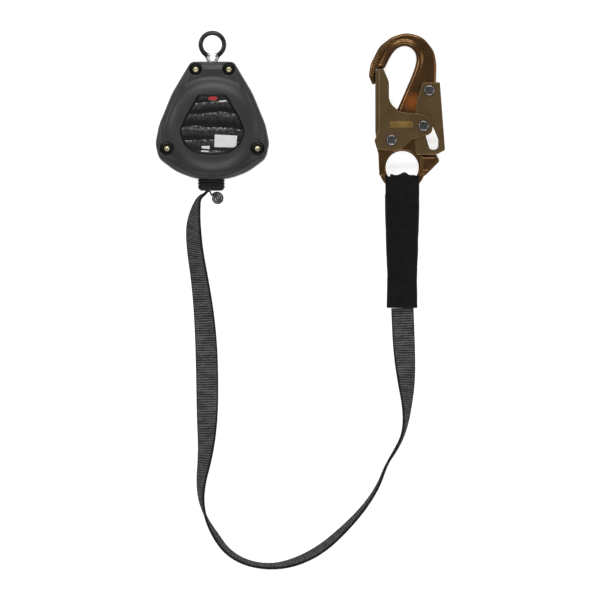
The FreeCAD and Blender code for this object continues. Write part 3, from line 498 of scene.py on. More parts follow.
# A warm reflection painted on the hook's back, between gate and lever: its place, reach and colour.
PAINTED_WARM_REFLECTION = (0.1705, 0.022, 0.0137, 0.0095, (0.42, 0.13, 0.03, 1))
LOOKS = {
    "shell": (moulded, grey(0.016, 1.08), grey(0.023, 1.08), 0.4),
    "shell_rear": (moulded, grey(0.02, 1.06), grey(0.03, 1.06), 0.5),
    "rubber": (moulded, grey(0.005), grey(0.009), 0.5, 1500, 0.00008, 0.22),
    "nylon": (moulded, grey(0.02), grey(0.035), 0.45),
    "friction": (moulded, (0.1, 0.07, 0.05, 1), (0.16, 0.12, 0.08, 1), 0.8, 500, 0.0003),
    "label": (label_film,),
    "white_film": (painted, grey(0.52), grey(0.6), 0.4),
    "gloss": (moulded, grey(0.002), grey(0.004), 0.3, 900, 0.00003, 0.15),
    "red_film": (painted, (0.42, 0.03, 0.034, 1), (0.2, 0.01, 0.012, 1), 0.25),
    "forged": (metal, (0.09, 0.046, 0.018, 1), (0.15, 0.08, 0.033, 1), 0.27, (1, 6, 1),
               (0.165, 0.095, 0.045, 1), 0.000006, PAINTED_WARM_REFLECTION, True),
    "plate": (metal, (0.1, 0.064, 0.031, 1), (0.135, 0.09, 0.043, 1), 0.42, (1, 9, 1), (0.16, 0.11, 0.05, 1)),
    "golden": (metal, (0.17, 0.105, 0.03, 1), (0.42, 0.27, 0.085, 1), 0.33, (1, 9, 1)),
    "rivet": (metal, grey(0.2), grey(0.27), 0.24, *SMOOTH),
    "rivet_dark": (metal, grey(0.05), grey(0.08), 0.6, *SMOOTH),
    "eye": (metal, grey(0.042), grey(0.055), 0.32, *SMOOTH),
    "bright": (metal, grey(0.34), grey(0.48), 0.3, *SMOOTH),
    "zinc": (metal, (0.7, 0.62, 0.38, 1), (0.9, 0.85, 0.62, 1), 0.3),
    "steel": (metal, grey(0.36), grey(0.5), 0.32, (1, 8, 1)),
    "spring": (metal, (0.06, 0.065, 0.085, 1), (0.11, 0.115, 0.14, 1), 0.3),
    "brass": (metal, (0.45, 0.3, 0.1, 1), (0.6, 0.42, 0.17, 1), 0.35),
    "bronze": (metal, (0.3, 0.18, 0.08, 1), (0.42, 0.27, 0.13, 1), 0.45),
    "webbing": (woven, grey(0.009, 1.03), grey(0.17, 1.03), 320, 150, 0.0005),
    "webbing_plain": (cloth, grey(0.03), grey(0.07), 420, 0.0004),
    "sleeve": (cloth, (0.004, 0.0036, 0.0045, 1), (0.009, 0.0082, 0.0095, 1), 520, 0.0003),
    "thread": (cloth, grey(0.3), grey(0.42), 900, 0.0003),
}
MATERIALS = {name: make(name, *looks) for name, (make, *looks) in LOOKS.items()}

CARRIED = {
    "brass": "screw_inserts",
    "webbing_plain": "inner_web_run wound_webbing web_end_loop",
    "steel": "web_guide_pins load_frame main_shaft shaft_nut web_anchor_pin drum_rear_flange "
             "drum_front_flange spring_arbor pawl_pins ratchet_ring swivel_nut gate_washers",
    "spring": "disc_springs power_spring pawl_a pawl_b gate_spring lever_spring",
    "friction": "brake_disc",
    "nylon": "spring_case drum_hub",
    "bronze": "drum_bushes swivel_washer",
    "thread": "loop_stitching",
    "golden": "gate_bar",
    "label": "rear_label",
}
for material, nodes in CARRIED.items():
    for node in nodes.split():
        dress(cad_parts[node], material)


# ---------- webbing on the surface
STRAP_WIDTH = 0.019
STRAP_THICK = 0.002
STRAP_GAP = 0.00062
# The CAD route's points in thousandths of a metre, each with the strap's tilt in degrees: 0 lies flat, 90
# stands on edge.
ROUTE = [(x / 1000, y / 1000, z / 1000, tilt) for x, y, z, tilt in (
    (-4.3, -53.5, 28.3, 90), (-5.6, -56, 28.3, 89), (-11.2, -59.4, 28, 84), (-14.2, -70, 26.5, 67),
    (-16.2, -85, 23, 50), (-15, -104, 16.4, 47), (-11.2, -127, 10.4, 43), (-8, -151, 6.9, 33),
    (-5.7, -178, 4.6, 20), (-4.6, -208, 3, 9), (-4.4, -240, 4.4, 20), (-5, -266, 7.6, 43),
    (-6.9, -284, 8.9, 56), (-9.7, -300, 9.5, 67), (-10, -316, 9.7, 79), (-6, -331.5, 9.7, 91),
    (1.8, -346, 9.7, 103), (12.6, -361.2, 9.7, 102), (29.5, -370.8, 9.7, 100), (51, -373.8, 9.7, 100),
    (72.2, -369.2, 9.6, 108), (93.3, -358.2, 9.5, 110), (112.6, -341, 9.6, 105), (129, -323.2, 9.7, 98),
    (141, -305, 9.7, 94), (147.8, -286.5, 9.7, 90), (155.6, -274.5, 9.7, 86), (161.8, -262.5, 9.7, 86),
    (164.6, -249.5, 9.6, 79), (165.4, -235, 9.1, 66), (164.9, -217, 7.2, 44), (163.4, -194, 4.6, 21),
    (162.2, -172, 3.3, 7), (161.6, -153.2, 3.3, 0))]


def curve_points(places, fineness=12):
    """Points along a smooth curve through the given places' control polygon."""
    data = bpy.data.curves.new("guide", "CURVE")
    data.dimensions = "3D"
    spline = data.splines.new("NURBS")
    spline.points.add(len(places) - 1)
    for point, place in zip(spline.points, places):
        point.co = (*place, 1)
    spline.order_u = 3
    spline.use_endpoint_u = True
    spline.resolution_u = fineness
    guide = add_object("guide", data)
    points = [v.co.copy() for v in evaluated(guide).vertices]
    bpy.data.objects.remove(guide)
    return points


def even_points(points, extras, gap):
    """Points one gap apart along a line, with the extras interpolated alongside."""
    made, values, travelled, due = [points[0]], [extras[0]], 0.0, gap
    for n in range(1, len(points)):
        step = (points[n] - points[n - 1]).length
        while due <= travelled + step:
            share = (due - travelled) / step
            made.append(points[n - 1].lerp(points[n], share))
            values.append(extras[n - 1] + (extras[n] - extras[n - 1]) * share)
            due += gap
        travelled += step
    return made + [points[-1]], values + [extras[-1]], travelled


def strap_section(columns, width, thick):
    """(across, up) of the strap's outline, from one selvedge round to the same again."""
    section = []
    for n in range(columns + 1):
        across = -1 + 2 * n / columns
        up = 0.5 if abs(across) < 0.93 else 0.36
        section.append((across * width / 2, up * thick))
    return section + [(a, -u) for a, u in reversed(section)]


def strap(name, path, tilts, width, thick, pitch=0.0021, relief=0.0002, columns=22):
    """A woven strap along a path: cross ribs, slightly raised selvedges and UVs in metres."""
    section = strap_section(columns, width, thick)
    rings, along_uv, travelled = [], [], 0.0
    for n, here in enumerate(path):
        ahead = heading(path, n)
        side = Vector((0, 0, 1)).cross(ahead).normalized()
        up = ahead.cross(side).normalized()
        tilt = radians(tilts[n])
        across = side * cos(tilt) + up * sin(tilt)
        normal = ahead.cross(across).normalized()
        if n:
            travelled += (here - path[n - 1]).length
        ring = []
        for x, z in section:
            weave = sin(TAU * travelled / pitch + 1.4 * sin(x * 900)) * relief
            edge = min(1.0, (width / 2 - abs(x)) / 0.0012)
            ring.append(here + across * x + normal * (z + copysign(weave * edge, z)))
        rings.append(ring)
        along_uv.append(travelled)
    made = loft(name, rings)
    layer = made.data.uv_layers.new(name="UVMap")
    count = len(section)
    for face in made.data.polygons:
        for corner in face.loop_indices:
            vertex = made.data.loops[corner].vertex_index
            layer.data[corner].uv = (section[vertex % count][0], along_uv[vertex // count])
    return made


def lay_webbing():
    middle = curve_points([p[:3] for p in ROUTE])
    tilts = [p.x for p in curve_points([(p[3], 0, 0) for p in ROUTE])]
    path, tilts, length = even_points(middle, tilts, STRAP_GAP)
    made = strap("webbing", path, tilts, STRAP_WIDTH, STRAP_THICK)
    finish_piece(made, "housing", "webbing", "lifeline_webbing", slot="webbing")


lay_webbing()


def roll_webbing():
    """The stitched stop at the nozzle: a strip that leaves the webbing and rolls up beside it."""
    _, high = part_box("web_stop_roll")
    centre = Vector((high.x - 0.0045, high.y - 0.0054, 0))
    height = ROUTE[0][2]
    thick, outer, winding = 0.0011, 0.0053, 0.0051
    path = [Vector((x, y, height)) for x, y in ((-0.005, -0.0546), (-0.0036, -0.054), (-0.0018, -0.0544))]
    turns, steps = 3.3, 99
    for n in range(steps + 1):
        angle = pi * 0.86 - TAU * turns * n / steps
        path.append(centre + polar(outer - winding * n / steps, angle, height))
    path, tilts, _ = even_points(path, [90.0] * len(path), 0.0006)
    made = strap("stop_roll", path, tilts, STRAP_WIDTH, thick, relief=0.00014, columns=18)
    finish_piece(made, "housing", "webbing_plain", "web_stop_roll", slot="webbing")


roll_webbing()


# ---------- housing
COVER = rounded(mirrored(thousandths(
    (0, -44.9, 80), (16, -43.4, 50), (31, -37.5, 40), (45.6, -26.6, 12), (48.6, -14, 16), (45.6, 2, 50),
    (34.5, 29, 60), (18.3, 56.1, 5))), 16)
WINDOW = rounded(mirrored(thousandths(
    (0, -23.7, 35), (14.5, -22.3, 16), (24.5, -14.5, 14), (28, -2.5, 10), (23, 9, 40), (11.8, 27.8, 5))), 12)
TURN_STEPS = 360
ANGLES = [TAU * n / TURN_STEPS for n in range(TURN_STEPS)]
COVER_REACH = [reach_of(COVER, a) for a in ANGLES]
WINDOW_REACH = [reach_of(WINDOW, a) for a in ANGLES]
SCREWS = [(side * x, y, size) for x, y, size in ((0.0141, 0.0492, 0.00525), (0.0384, -0.018, 0.0058))
          for side in (-1, 1)]
SINK_FLOOR = 0.04
LABEL_LOW, LABEL_TOP = 0.0553, 0.0557
PARTING = 0.028
FRAME_WALL = 0.0025


def cover_ring(kind, amount, height):
    """A level ring of the cover: at its edge moved inward, on a circle, or at the window grown outward."""
    ring = []
    for n, angle in enumerate(ANGLES):
        reach = {"edge": COVER_REACH[n] - amount, "circle": amount, "window": WINDOW_REACH[n] + amount}[kind]
        ring.append(polar(reach, angle, height))
    return ring


FRONT_ROOM = [
    ("circle", 0.02, 0.0528), ("circle", 0.03, 0.052), ("circle", 0.036, 0.0503),
    ("circle", 0.0395, 0.0482), ("circle", 0.0405, 0.0468), ("edge", 0.0034, 0.0462),
    ("edge", FRAME_WALL, 0.044), ("edge", FRAME_WALL, PARTING), ("edge", 0.0006, PARTING),
    ("edge", 0.0, 0.0287), ("edge", 0.0002, 0.04),
]
# Height of the front face by distance from its edge: a fine bead, a hollow, then a slope up to the flat.
FRONT_RIM = thousandths(
    (0, 44), (0.4, 46.2), (0.9, 47.6), (1.4, 48.3), (2.1, 48.5), (2.8, 48.4), (3.6, 48.6), (4.8, 49.3),
    (6, 49.9), (7.4, 50.2), (14, 50.2))
# Rise of the dome over that by distance from the drum axis.
FRONT_DOME = thousandths(
    (20, 5.8), (28, 5.6), (31, 5.2), (33.8, 4.5), (36, 3.7), (38, 2.7), (39.6, 1.7), (41, 0.9), (42.4, 0.3),
    (44, 0))
REAR_PROFILE = [
    ("edge", FRAME_WALL, 0.0025), ("edge", FRAME_WALL, 0.003), ("edge", FRAME_WALL, PARTING),
    ("edge", 0.0006, PARTING), ("edge", 0.0, 0.0273), ("edge", 0.0002, 0.014), ("edge", 0.0008, 0.006),
    ("edge", 0.0016, 0.0028), ("edge", 0.0028, 0.001), ("edge", 0.0042, 0.0002), ("edge", 0.0056, 0.0),
    ("window", 0.001, 0.0), ("window", 0.0, 0.0004), ("window", 0.0, 0.0008),
]
NOZZLE_LOW = Vector((-0.012, -0.0535, 0.014))
NOZZLE_HIGH = Vector((0.0102, -0.0402, 0.042))


def level(stations, at):
    """Straight interpolation in a rising list of (place, value)."""
    for (low, first), (high, last) in zip(stations, stations[1:]):
        if at <= high:
            return first + (last - first) * max(0.0, (at - low) / (high - low))
    return stations[-1][1]


def front_face():
    """Rings from the front cover's edge in to its window."""
    rings, count = [], 64
    for k in range(count + 1):
        share = (k / count) ** 1.3
        ring = []
        for n, angle in enumerate(ANGLES):
            edge = COVER_REACH[n] - 0.0003
            reach = edge + (WINDOW_REACH[n] + 0.0008 - edge) * share
            height = level(FRONT_RIM, COVER_REACH[n] - reach) + level(FRONT_DOME, reach)
            ring.append(polar(reach, angle, height))
        rings.append(ring)
    return rings + [cover_ring("window", 0.0002, 0.0558), cover_ring("window", 0.0, 0.0553)]


def front_cover():
    made = loft("front_shell", [cover_ring(*station) for station in FRONT_ROOM] + front_face())
    posts = [rod("post", size + 0.0012, PARTING + 0.0005, 0.047, x, y) for x, y, size in SCREWS]
    combine(made, posts, "UNION")
    sinks = [lathe("sink", [(size, SINK_FLOOR), (size, 0.0484), (size + 0.0012, 0.058)], (x, y, 0))
             for x, y, size in SCREWS]
    combine(made, sinks + openings(PARTING - 0.001, NOZZLE_HIGH.z + 0.0002), "DIFFERENCE")
    cast(made, 0.00066, 6)
    finish_piece(made, "housing", "shell", "front_cover", slot="dark_shell")


def rear_cover():
    made = loft("rear_shell", [cover_ring(*station) for station in REAR_PROFILE])
    combine(made, openings(NOZZLE_LOW.z - 0.0002, PARTING + 0.001), "DIFFERENCE")
    cast(made, 0.0008, 6)
    finish_piece(made, "housing", "shell_rear", "rear_cover", slot="dark_shell")


def openings(low, high):
    """What both covers are cut by between two heights: the nozzle's seat and the shank's bore."""
    exit_gap = block("exit", (NOZZLE_LOW.x - 0.0002, -0.052, low), (NOZZLE_HIGH.x + 0.0002, -0.0395, high))
    along_y = Matrix.Rotation(pi / 2, 3, "X")
    shank = lathe("shank", [(0.005, 0), (0.005, 0.012)], (0, 0.06, PARTING), along_y)
    return [exit_gap, shank]


def film(name, outline, low, high, ease, *looks, slot):
    finish_piece(slab(name, outline, edged(low, high, ease)), "housing", *looks, slot=slot)


def label():
    """The front label, its raised rim, and plain shapes in place of its print."""
    mark_top = LABEL_TOP + 0.00015
    film("label", grown(WINDOW, -0.00025), LABEL_LOW, LABEL_TOP, 0.0001, "label", "front_label",
         slot="label_black")
    rim = [[Vector((p.x, p.y, LABEL_LOW + rise)) for p in grown(WINDOW, -inset)] for inset, rise in
           ((0.0001, 0.0), (0.0001, 0.0006), (0.0006, 0.0007), (0.0016, 0.0006), (0.0017, 0.0003))]
    finish_piece(loft("label_rim", rim, closed=True), "housing", "gloss", slot="label_black")
    panel = rounded([(0.0022, -0.0062, 0.0006), (0.0213, -0.0072, 0.0006), (0.0202, -0.0172, 0.0006),
                     (0.0018, -0.0169, 0.0006)])
    film("label_blank", panel, LABEL_TOP, mark_top, 0.00005, "white_film", "label_panel", slot="label_white")
    mark = [Vector((0.0006 + 0.004 * cos(TAU * n / 40), 0.0243 + 0.0018 * sin(TAU * n / 40)))
            for n in range(40)]
    film("label_red", mark, LABEL_TOP, mark_top, 0.00005, "red_film", "label_mark", slot="label_red")
    chips = []
    for corners in (((0.0056, 0.0224), (0.0122, 0.023), (0.0124, 0.0219), (0.0058, 0.0213)),
                    ((-0.0092, -0.016), (-0.002, -0.0158), (-0.0022, -0.0186), (-0.0086, -0.018)),
                    ((-0.0094, -0.0196), (-0.0028, -0.02), (-0.003, -0.0211), (-0.0092, -0.0208))):
        outline = rounded([(x, y, 0.0004) for x, y in corners], 3)
        chips.append(slab("chip", outline, edged(LABEL_TOP, LABEL_TOP + 0.0001, 0.00004)))
    finish_piece(joined("label_chips", chips), "housing", "white_film")


def nozzle():
    """A ribbed rubber boot round the slot that the webbing leaves by."""
    low, high = NOZZLE_LOW, NOZZLE_HIGH
    corners = ((low.x, low.z), (low.x, high.z), (high.x, high.z), (high.x, low.z))
    outer = spaced(rounded([(x, z, 0.003) for x, z in corners]), 0.001)
    slot_middle = Vector((ROUTE[0][0], ROUTE[0][2]))
    rings = []

    def ring(points, y):
        rings.append([Vector((p.x, y, p.y)) for p in points])

    steps = 60
    rib_pitch, rib_start = 0.0026, -0.0405
    for n in range(steps + 1):
        y = high.y + (low.y - high.y) * n / steps
        share = n / steps
        rib = 0.0004 * sin(TAU * (y - rib_start) / rib_pitch) if 0.1 < share < 0.85 else 0.0
        end = 0.0026 * max(0.0, (share - 0.8) / 0.2) ** 2.4
        ring(grown(outer, rib - end), y)
    half_wide, half_tall = 0.0019, 0.0105
    slot = []
    for p in outer:
        x = (p.x - (low.x + high.x) / 2) / ((high.x - low.x) / 2)
        z = (p.y - (low.z + high.z) / 2) / ((high.z - low.z) / 2)
        slot.append(slot_middle + Vector((x * half_wide, z * half_tall)))
    ring(grown(slot, 0.0006), low.y)
    ring(slot, low.y + 0.0008)
    ring(slot, high.y)
    finish_piece(loft("nozzle_boot", rings, closed=True), "housing", "rubber", "web_nozzle", slot="rubber")


def screws():
    """Pan heads with a hexagon drive, deep in their counterbores."""
    heads = []
    profile = [(radius, SINK_FLOOR + rise) for radius, rise in
               thousandths((1.8, -12), (1.8, 0), (3.1, 0), (3.2, 1.2), (2.9, 2), (2.2, 2.5))]
    for n, (x, y, _) in enumerate(SCREWS):
        hexagon = [polar(0.0014, 0.4 + 1.1 * n + k * TAU / 6).xy for k in range(6)]
        drive = slab("drive", hexagon, [(0, SINK_FLOOR + 0.001), (0, SINK_FLOOR + 0.004)], (x, y, 0))
        heads.append(combine(lathe("head", profile, (x, y, 0)), [drive], "DIFFERENCE"))
    made = joined("screws", heads)
    ease_edges(made, 0.00015)
    finish_piece(made, "housing", "zinc", "housing_screws", slot="zinc_yellow")


def ease_edges(made, width):
    bevel = made.modifiers.new("edges", "BEVEL")
    bevel.width = width
    bevel.segments = 2
    bevel.limit_method = "ANGLE"
    bevel.angle_limit = radians(40)
    settle(made)
    made.data.shade_smooth()
    made.data.set_sharp_from_angle(angle=radians(35))


front_cover()
rear_cover()
label()
nozzle()
screws()


# ---------- swivel eye
EYE_CENTRE = Vector((0, 0.0705, PARTING))
EYE_MIDDLE, EYE_WIRE = 0.00995, 0.00205


def swivel_eye():
    """A forged ring that runs into its neck and shank."""
    rings = []
    for n in range(96):
        out = polar(1, TAU * n / 96)
        rings.append([EYE_CENTRE + out * (EYE_MIDDLE + EYE_WIRE * cos(TAU * k / 20))
                      + Vector((0, 0, 0.0026 * sin(TAU * k / 20))) for k in range(20)])
    hoop = loft("hoop", rings, closed=True)
    sections = ((0.0645, 0.0088, 0.002), (0.062, 0.0078, 0.0024), (0.0598, 0.0064, 0.003),
                (0.058, 0.0052, 0.0038), (0.0564, 0.0046, 0.0044), (0.0556, 0.0044, 0.0044),
                (0.044, 0.0044, 0.0044))
    neck = loft("neck", [[Vector((wide * cos(TAU * k / 32), y, PARTING + tall * sin(TAU * k / 32)))
                          for k in range(32)] for y, wide, tall in sections])
    bore = lathe("bore", [(0.0079, 0), (0.0079, 0.04)], (EYE_CENTRE.x, EYE_CENTRE.y, 0.01), steps=96)
    combine(neck, [bore], "DIFFERENCE")
    made = joined("swivel_ring", [hoop, neck])
    cast(made, 0.00035, 6)
    finish_piece(made, "swivel", "eye", "swivel_eye")
    second_material(made, "bright", lambda spot: spot.y < 0.0634 - 0.8 * abs(spot.x) ** 1.1)


swivel_eye()


# ---------- pawl springs
def pawl_spring(name, side):
    """A small coil between the drum and a pawl's tail, which the pawl presses shorter as it swings; here it
    keeps one length.
    """
    start, end = Vector((0.0136, -0.0042, 0.0419)), Vector((0.0176, -0.0042, 0.0419))
    coil, wire, turns, steps = 0.0009, 0.00018, 5, 24
    rings = []
    for n in range(turns * steps + 1):
        angle = TAU * n / steps
        out = Vector((0, sin(angle), cos(angle)))
        middle = start.lerp(end, n / (turns * steps)) + out * coil
        ring = [middle + (out * cos(TAU * k / 10) + Vector((1, 0, 0)) * sin(TAU * k / 10)) * wire
                for k in range(10)]
        rings.append([Vector((p.x * side, p.y * side, p.z)) for p in ring])
    made = loft(name, rings)
    dress(made, "spring")
    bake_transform(made)
    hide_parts("pawl_springs")


pawl_spring("pawl_spring_a", 1)
pawl_spring("pawl_spring_b", -1)


# ---------- snap hook
HOOK = Vector((0.1613, -0.0337, 0.01))
GATE_PIVOT = Vector((-0.009, 0.0233, 0))
LINK = Vector((0.0182, 0.0353, 0))
LEVER_PIVOT = Vector((0.023, 0.0655, 0))
HOOK_HALF = 0.0046
GATE_INNER, GATE_OUTER = 0.0065, 0.0081
LEVER_INNER, LEVER_OUTER = 0.0048, 0.0063
EYE_HOLE = 0.014
EYE_BAR = 0.00305


def outline_mm(*corners, gap=0.001):
    """An outline from corners in thousandths of a metre from the centre of the hook's eye."""
    return spaced(rounded(thousandths(*corners)), gap)


def hook_forging():
    outline = outline_mm(
        (-19.6, -7, 0.8), (-20.4, 12, 4), (-24.2, 24.5, 3), (-17, 28.6, 4), (-10.4, 36, 6),
        (-1.6, 50.6, 12), (7.4, 72, 12), (13, 86, 12), (14.4, 98.5, 10), (2, 107.2, 12),
        (-9.6, 100, 8), (-17, 83.6, 1), (-22.9, 83.6, 0.8), (-22.9, 71.2, 0.6), (-25.4, 70.2, 1),
        (-28.6, 78, 5), (-27, 88, 12), (-19.5, 103, 16), (-9, 111.2, 16), (4, 115.3, 22),
        (18, 111, 20), (27.5, 99, 18), (29.3, 88, 20), (29, 73.5, 1), (28.2, 62, 3),
        (14.6, 41, 4), (14.6, 11, 1), (29.2, 11, 2), (32.4, 5.6, 2.5), (19.7, -7, 1.5), gap=0.0012)
    band = 0.0034
    upper = [(0, 0.0015), (-0.0002, band - 0.0013), (-0.0008, band - 0.0005), (-0.0017, band)]
    parts = [slab("band", outline, [(inset, -height) for inset, height in reversed(upper)] + upper, HOOK)]
    foot = outline_mm(
        (-19.6, -7, 0.8), (-20.4, 12, 4), (-24.2, 24.5, 3), (-17, 28.6, 4), (-8, 38, 6),
        (6, 44.5, 3), (14.4, 41, 4), (14.4, 11, 1), (16.5, 10.6, 1), (16.5, -4, 1),
        (13.5, -7, 0.5), gap=0.0012)
    parts.append(slab("foot", foot, edged(-HOOK_HALF, HOOK_HALF, 0.0008), HOOK))
    throat = [(-18.4, 84.6), (-15.4, 90.8), (-11.6, 98.2), (-6.6, 104.0), (0.4, 107.0), (7.6, 105.8),
              (13.4, 101.0), (15.8, 93.6), (14.6, 86.0), (11.8, 78.0), (8.4, 70.0), (5.0, 62.0), (1.4, 53.6),
              (-2.4, 44.8)]
    bead = curve_points([(x / 1000, y / 1000, 0) for x, y in throat], 8)
    bead_radius = 0.0035
    parts.append(tube("bead", [p + HOOK for p in bead], bead_radius, HOOK_HALF / bead_radius, 24))
    made = joined("forging", parts)
    cast(made, 0.0005, 4)
    flared = EYE_HOLE + 0.0009
    hole = [(flared, -0.01), (flared, -HOOK_HALF), (EYE_HOLE, 0.001 - HOOK_HALF), (EYE_HOLE, HOOK_HALF - 0.001),
            (flared, HOOK_HALF), (flared, 0.01)]
    tools = [lathe("hole", hole, HOOK, steps=96)]
    panel = rounded([(0.0172, 0.0084, 0.0006), (0.028, 0.0084, 0.0008), (0.0292, 0.0054, 0.001),
                     (0.0214, -0.0026, 0.001), (0.0172, -0.0026, 0.0006)])
    for low, high in ((0.0029, 0.008), (-0.008, -0.0029)):
        tools.append(slab("panel", panel, [(0, low), (0, high)], HOOK))
    combine(made, tools, "DIFFERENCE")
    rings = []
    for n in range(49):
        out = polar(1, pi + 0.15 + (pi - 0.3) * n / 48)
        rings.append([HOOK + out * (EYE_HOLE + EYE_BAR * (1 + cos(TAU * k / 20)))
                      + Vector((0, 0, EYE_BAR * sin(TAU * k / 20))) for k in range(20)])
    bar = loft("bar", rings)
    made = cast(joined("hook_forging", [made, bar]), 0.00036, 8)
    made = joined("hook_forging", [made, *nose_ridges()])
    finish_piece(made, "hook", "forged", "hook_body", slot="forged_bronze")


def nose_ridges():
    """Short grip ridges across the outer edge of the nose."""
    places = ((-0.0282, 0.079), (-0.0268, 0.0882), (-0.0194, 0.1026), (-0.0092, 0.1108))
    edge = curve_points([(x, y, 0) for x, y in places], 24)
    edge, _, _ = even_points(edge, [0.0] * len(edge), 0.0023)
    section = ((0.0004, 0.0016), (0.0009, 0.0026), (0.002, 0.0033), (0.0036, 0.0034), (0.005, 0.003))
    ridges = []
    for n, here in enumerate(edge):
        along = heading(edge, n)
        inward = Vector((along.y, -along.x, 0))
        for side in (-1, 1):
            path = [HOOK + here + inward * deep + Vector((0, 0, side * height))
                    for deep, height in section]
            ridges.append(tube("ridge", path, 0.00075, 1.0, 12))
    return ridges


def plates(name, outline, inner, outer, web, short):
    """Two flat plates over the hook's sides and the web that joins them, which stops short of their faces."""
    return joined(name, [slab("top", outline, edged(inner, outer, 0.0003), HOOK),
                         slab("low", outline, edged(-outer, -inner, 0.0003), HOOK),
                         slab("web", web, [(0, short - outer), (0, outer - short)], HOOK)])


def gate():
    outline = outline_mm(
        (-22.9, 83, 1), (-16.1, 84.3, 1), (-11.2, 73, 8), (-11.2, 55, 12), (-1.5, 47.2, 12), (18, 45.4, 10),
        (26.8, 41, 6), (25.2, 28.8, 5.5), (8.8, 23.8, 9), (-1, 15, 10), (-9, 14, 4), (-20.4, 15.2, 1),
        (-22.9, 30, 20))
    web = outline_mm((-22.7, 81.4, 0.5), (-20.6, 81.4, 0.3), (-20.6, 30, 0.3), (-22.7, 30, 0.5))
    made = cast(plates("gate_plate", outline, GATE_INNER, GATE_OUTER, web, 0.0004), 0.00038, 3)
    fold(made)
    finish_piece(made, "gate", "plate", "hook_gate", slot="plate_bronze")


def fold(made):
    """Rounds the gate's outer side, where its two plates turn into the web."""
    radius, left, least = 0.005, -0.0229, 0.0052
    for vertex in made.data.vertices:
        u, v, z = vertex.co - HOOK
        into = left + radius - u
        if into <= 0:
            continue
        height = GATE_OUTER - radius + sqrt(max(radius ** 2 - min(into, radius) ** 2, 0))
        share = min(1.0, max(0.0, (v - 0.026) / 0.006))
        scale = 1 + (max(height, least) / GATE_OUTER - 1) * share * share * (3 - 2 * share)
        vertex.co.z = HOOK.z + z * scale
    made.data.update()


def lever():
    outline = outline_mm(
        (17.1, 72.4, 1.5), (32.2, 72.6, 1), (36.6, 14.8, 0.8), (29, 10.9, 2), (11.4, 10.3, 2), (10, 24, 6),
        (11.6, 54, 12))
    spine = outline_mm((30.4, 72, 0.2), (32, 72, 0.6), (36.2, 15.6, 0.6), (34.6, 15.6, 0.2))
    made = cast(plates("lever", outline, LEVER_INNER, LEVER_OUTER, spine, 0.0003), 0.0005, 0)
    window = outline_mm((13.7, 38.6, 3), (24.6, 38.6, 3), (30.8, 24, 5), (30.6, 15.2, 4), (23.4, 15.2, 3),
                        (20, 27, 6))
    combine(made, [slab("window", window, [(0, -0.02), (0, 0.02)], HOOK)], "DIFFERENCE")
    made.name = "lever_plate"
    cast(made, 0.00038, 3)
    finish_piece(made, "lever", "plate", "lock_lever", slot="plate_bronze")


def rivet(name, node, body, spot, grip, shank):
    """A headed pin: a bright rolled rim round a dimple with a staked cross, the same at both ends."""
    steps, radius, tall = 64, 0.00485, 0.0016
    rim_starts, dimple_starts = 0.78, 0.74

    def head(side):
        rings = []
        for share in (1.0, 0.985, 0.95, 0.9, 0.84, 0.78, 0.72, 0.64, 0.54, 0.42, 0.3, 0.18, 0.06):
            rise = tall * (1 - max(0.0, (share - rim_starts) / 0.22) ** 2.4)
            if share < dimple_starts:
                rise -= 0.0007 * min(1.0, (dimple_starts - share) / 0.16)
            ring = []
            for n in range(steps):
                angle = TAU * n / steps
                x, y = radius * share * cos(angle), radius * share * sin(angle)
                cross = min(abs(x * 0.92 + y * 0.39), abs(y * 0.92 - x * 0.39))
                dent = 0.0004 * max(0.0, 1 - cross / 0.0006) if share < 0.62 else 0.0
                ring.append(HOOK + spot + Vector((x, y, side * (grip + rise - dent))))
            rings.append(ring)
        base = [[HOOK + spot + polar(radius * share, TAU * n / steps, side * grip) for n in range(steps)]
                for share in (0.4, 0.97)]
        return loft("head", base + rings)

    x, y = (HOOK + spot).xy
    pin = rod("pin", shank, HOOK.z - grip - 0.0002, HOOK.z + grip + 0.0002, x, y)
    made = joined(name, [head(1), head(-1), pin])
    made.data.set_sharp_from_angle(angle=radians(50))
    finish_piece(made, body, "rivet", node)
    second_material(made, "rivet_dark", lambda place: (place - HOOK - spot).xy.length < radius * dimple_starts)


hook_forging()
gate()
lever()
rivet("gate_pin", "gate_rivet", "hook", GATE_PIVOT, GATE_OUTER + 0.0001, 0.0025)
rivet("link_pin", "link_rivet", "gate", LINK, GATE_OUTER + 0.0001, 0.0021)
rivet("lever_pin", "lever_rivet", "hook", LEVER_PIVOT, LEVER_OUTER + 0.0001, 0.0025)


# ---------- protective sleeve
LOOP_Y = HOOK.y - 0.0152
LOOP_RADIUS, LOOP_MIDDLE = 0.0098, 0.01
FOLD_FOOT = -0.058
SLEEVE_WALL = 0.0013
# Place along Y, half width, lower face and upper face.
SLEEVE_STATIONS = thousandths(
    (-56, 14.6, 0.4, 19.6), (-64, 14.6, 0.4, 18.6), (-76, 14.5, 0.4, 16), (-86, 14.2, 0.4, 13.6),
    (-96, 13.8, 0.4, 11.8), (-110, 13.2, 0.4, 10.8), (-125, 12.8, 0.4, 10.2), (-140, 12.8, 0.4, 9.4),
    (-150, 13, 0.4, 8.8), (-152.9, 13.1, 0.4, 8.7))
SLEEVE_END = SLEEVE_STATIONS[-1][0]


def between(stations, y):
    for a, b in zip(stations, stations[1:]):
        if b[0] <= y <= a[0]:
            share = (a[0] - y) / (a[0] - b[0])
            return [p + (q - p) * share for p, q in zip(a, b)]
    return stations[0] if y > stations[0][0] else stations[-1]


